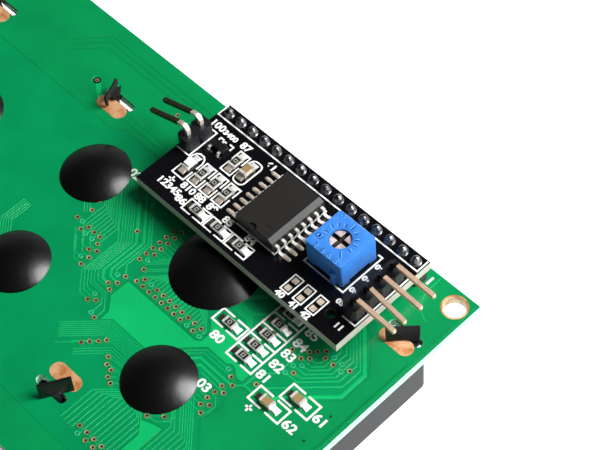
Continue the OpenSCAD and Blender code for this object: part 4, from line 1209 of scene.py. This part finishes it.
class DISPLAY_OT_solder(bpy.types.Operator):
    """Solder at the ends of chip parts and under the leads of the larger parts"""
    bl_idname = "display.solder"
    bl_label = "Solder"

    def execute(self, context):
        # Reflowed solder, set by side as the light falls on it: bright at the ends that face +X and
        # +Y, painted shade in brown at those that face -X, and a duller cream at those that face -Y
        # and under the expander's leads
        bright = bare_metal("reflowed_solder", "#FFFFFF", "#E4E4E4", 0.42, 1.5, metallic=0.7)
        cream = bare_metal("cream_solder", "#F0E4D6", "#C0B2A2", 0.5, 1.5, metallic=0.6)
        painted_shade_solder = bare_metal("solder_painted_shade", "#8C8074", "#4C4038", 0.45, 1.5)
        finishes = {"left": painted_shade_solder, "right": bright, "low": cream, "high": bright}
        under = 0.1
        for prefix, chips, base, wide in (("board", BOARD_CHIPS, BOARD_TOP, 1.2),
                                          ("adapter", ADAPTER_CHIPS, ADAPTER_TOP, 1.3)):
            groups = {side: [] for side in finishes}
            for name, reach in chips.items():
                low, high = box_mm(name)
                centre = (low + high) / 2
                if high.x - low.x > high.y - low.y:
                    places = {"left": (low.x + under, centre.y, 180),
                              "right": (high.x - under, centre.y, 0)}
                else:
                    places = {"low": (centre.x, low.y + under, -90),
                              "high": (centre.x, high.y - under, 90)}
                heap = fillet(reach + under, wide, base, 0.42, 0.12)
                for side, made in zip(places, repeat(heap, places.values())):
                    groups[side].append(made)
            for side, finish in finishes.items():
                if groups[side]:
                    finish_piece(groups[side], "%s_solder_%s" % (prefix, side), finish,
                                 smooth=50)
        pads = [slab(round_pad((x0 + x1) / 2, y, 0.46, 0.44, 0.12), ADAPTER_TOP - 0.01, 0.06)
                for x0, y0, x1, y1 in ADDRESS_CELLS for y in (12.25, 13.7)]
        finish_piece(pads, "address_pads",
                     bare_metal("tinned_pad", "#D4C6B4", "#B4A592", 0.6, 1.5, metallic=0.4),
                     smooth=50)
        feet = repeat(mound(2.0, 0.78, ADAPTER_TOP - 0.03, 0.26, 0.75),
                      [(x, y, 0) for x in LEAD_COLUMNS for y in LEAD_ROWS])
        finish_piece(feet, "lead_solder", cream, smooth=50)
        return {"FINISHED"}


class DISPLAY_OT_chip_marks(bpy.types.Operator):
    """Pale ceramic edges beside each resistor's black glaze, and a small square ring on it for its
    marking
    """
    bl_idname = "display.chip_marks"
    bl_label = "Chip Marks"

    def execute(self, context):
        flat = []
        for name in [*BOARD_CHIPS, *ADAPTER_CHIPS]:
            if "resistor" not in name:
                continue
            low, high = box_mm(name)
            size = high - low
            centre = (low + high) / 2
            half = min(size.x, size.y) / 2 - 0.07
            made = [strip([(-0.55, side), (0.55, side)], 0.09, high.z) for side in (-half, half)]
            made += [strip([(-0.22, -0.25), (0.22, -0.25), (0.22, 0.25), (-0.22, 0.25)], 0.1,
                           high.z, True)]
            flat += repeat(join(made), [(centre.x, centre.y, 90 if size.x < size.y else 0)])
        finish_piece(thicken(join(flat), 0.012), "chip_marks",
                     plain_plastic("ceramic_edge", "#B4B2A8", 0.5, 6.0))
        return {"FINISHED"}


class DISPLAY_OT_trimmer(bpy.types.Operator):
    """Trimmer housing with soft edges, its scale, plain numbers and locating dots"""
    bl_idname = "display.trimmer"
    bl_label = "Trimmer"

    def execute(self, context):
        chosen = context.scene.module_looks
        low, high = box_mm("trimmer_rotor")
        middle = (low + high) / 2
        top = ADAPTER_TOP + 4.8
        made = node_copy("trimmer_housing")
        with Editing(made) as mesh:
            for vertex in mesh.verts:
                vertex.co.z = min(vertex.co.z, top * MM)
            merge_close(0.002)
            bpy.ops.mesh.dissolve_degenerate(threshold=0.002 * MM)
            bpy.ops.mesh.dissolve_limited(angle_limit=math.radians(1))
        soften(made, 0.14, 3, 50)
        # Moulded nylon: satin blue with a fine grain
        finish_piece(made, "soft_edged_housing",
                     plain_plastic("blue_nylon", chosen.trimmer, 0.5, depth=0.012),
                     replaces=["trimmer_housing"], smooth=35)
        made = node_copy("trimmer_rotor")
        with Editing(made) as mesh:
            for vertex in mesh.verts:
                if vertex.co.z > (high.z - 0.3) * MM:
                    vertex.co.z -= 0.16 * MM
            bpy.ops.mesh.select_all(action="SELECT")
            bpy.ops.mesh.dissolve_limited(angle_limit=math.radians(1))
        soften(made, 0.09, angle=50)
        # Painted shade: the rotor dark below its top, down in its cross slots, and pale on its
        # raised faces
        finish_piece(made, "sunk_rotor",
                     two_zone("rotor_plastic", "Z", ADAPTER_TOP + 4.46, "#1C1210", "#C8B8BA",
                              roughness=0.45, spread=0.45),
                     body="rotor", replaces=["trimmer_rotor"], smooth=35)
        # Raised marks, numbers and dots, each laid twice: a copy in painted shade, and beside it a
        # copy in painted highlight for its lit flank
        z = top - 0.01
        for name, colour, shift, height in (("scale_shade", "#14459A", 0.0, 0.018),
                                            ("scale_gleam", "#64A8F6", 0.16, 0.016)):
            flat = []
            for degrees in SCALE_MARKS:
                angle = math.radians(degrees)
                across = Vector((math.cos(angle), math.sin(angle)))
                beside = turn_left(across) * shift
                outer = 3.1 if degrees in LONG_MARKS else 2.65
                flat.append(strip([middle.xy + across * reach + beside
                                   for reach in (2.05, outer)], 0.19, z))
            flat.append(strip(circle(28.8 + shift, 19.2, 0.34, 16), 0.18, z, True))
            flat.append(strip(circle(28.9 + shift, 23.65, 0.3, 16), 0.1, z, True))
            flat += [label(digit, 29.3 + 1.25 * i + shift, 17.3, z, 0.95)
                     for i, digit in enumerate("2468")]
            finish_piece(thicken(join(flat), height), name,
                         plain_plastic("blue_nylon_" + name, colour, 0.4))
        return {"FINISHED"}


STEPS = (DISPLAY_OT_stage, DISPLAY_OT_finishes, DISPLAY_OT_domes, DISPLAY_OT_bezel,
         DISPLAY_OT_board_copper, DISPLAY_OT_vias, DISPLAY_OT_print, DISPLAY_OT_joints,
         DISPLAY_OT_jumper_pins, DISPLAY_OT_solder, DISPLAY_OT_chip_marks, DISPLAY_OT_trimmer)


class DISPLAY_PT_panel(bpy.types.Panel):
    """Settings and steps in the sidebar"""
    bl_label = "Character Display"
    bl_idname = "DISPLAY_PT_panel"
    bl_space_type = "VIEW_3D"
    bl_region_type = "UI"
    bl_category = "Display"

    def draw(self, context):
        chosen = context.scene.module_looks
        for name in DisplaySettings.__annotations__:
            self.layout.prop(chosen, name)
        for step in STEPS:
            self.layout.operator(step.bl_idname)


CLASSES = (DisplaySettings,) + STEPS + (DISPLAY_PT_panel,)


def register():
    """Adds the classes and the scene's settings."""
    for one in CLASSES:
        bpy.utils.register_class(one)
    bpy.types.Scene.module_looks = bpy.props.PointerProperty(type=DisplaySettings)


def unregister():
    """Removes them again."""
    del bpy.types.Scene.module_looks
    for one in reversed(CLASSES):
        bpy.utils.unregister_class(one)


def main():
    """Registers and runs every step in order."""
    register()
    for step in STEPS:
        group, action = step.bl_idname.split(".")
        getattr(getattr(bpy.ops, group), action)()


if __name__ == "__main__":
    main()
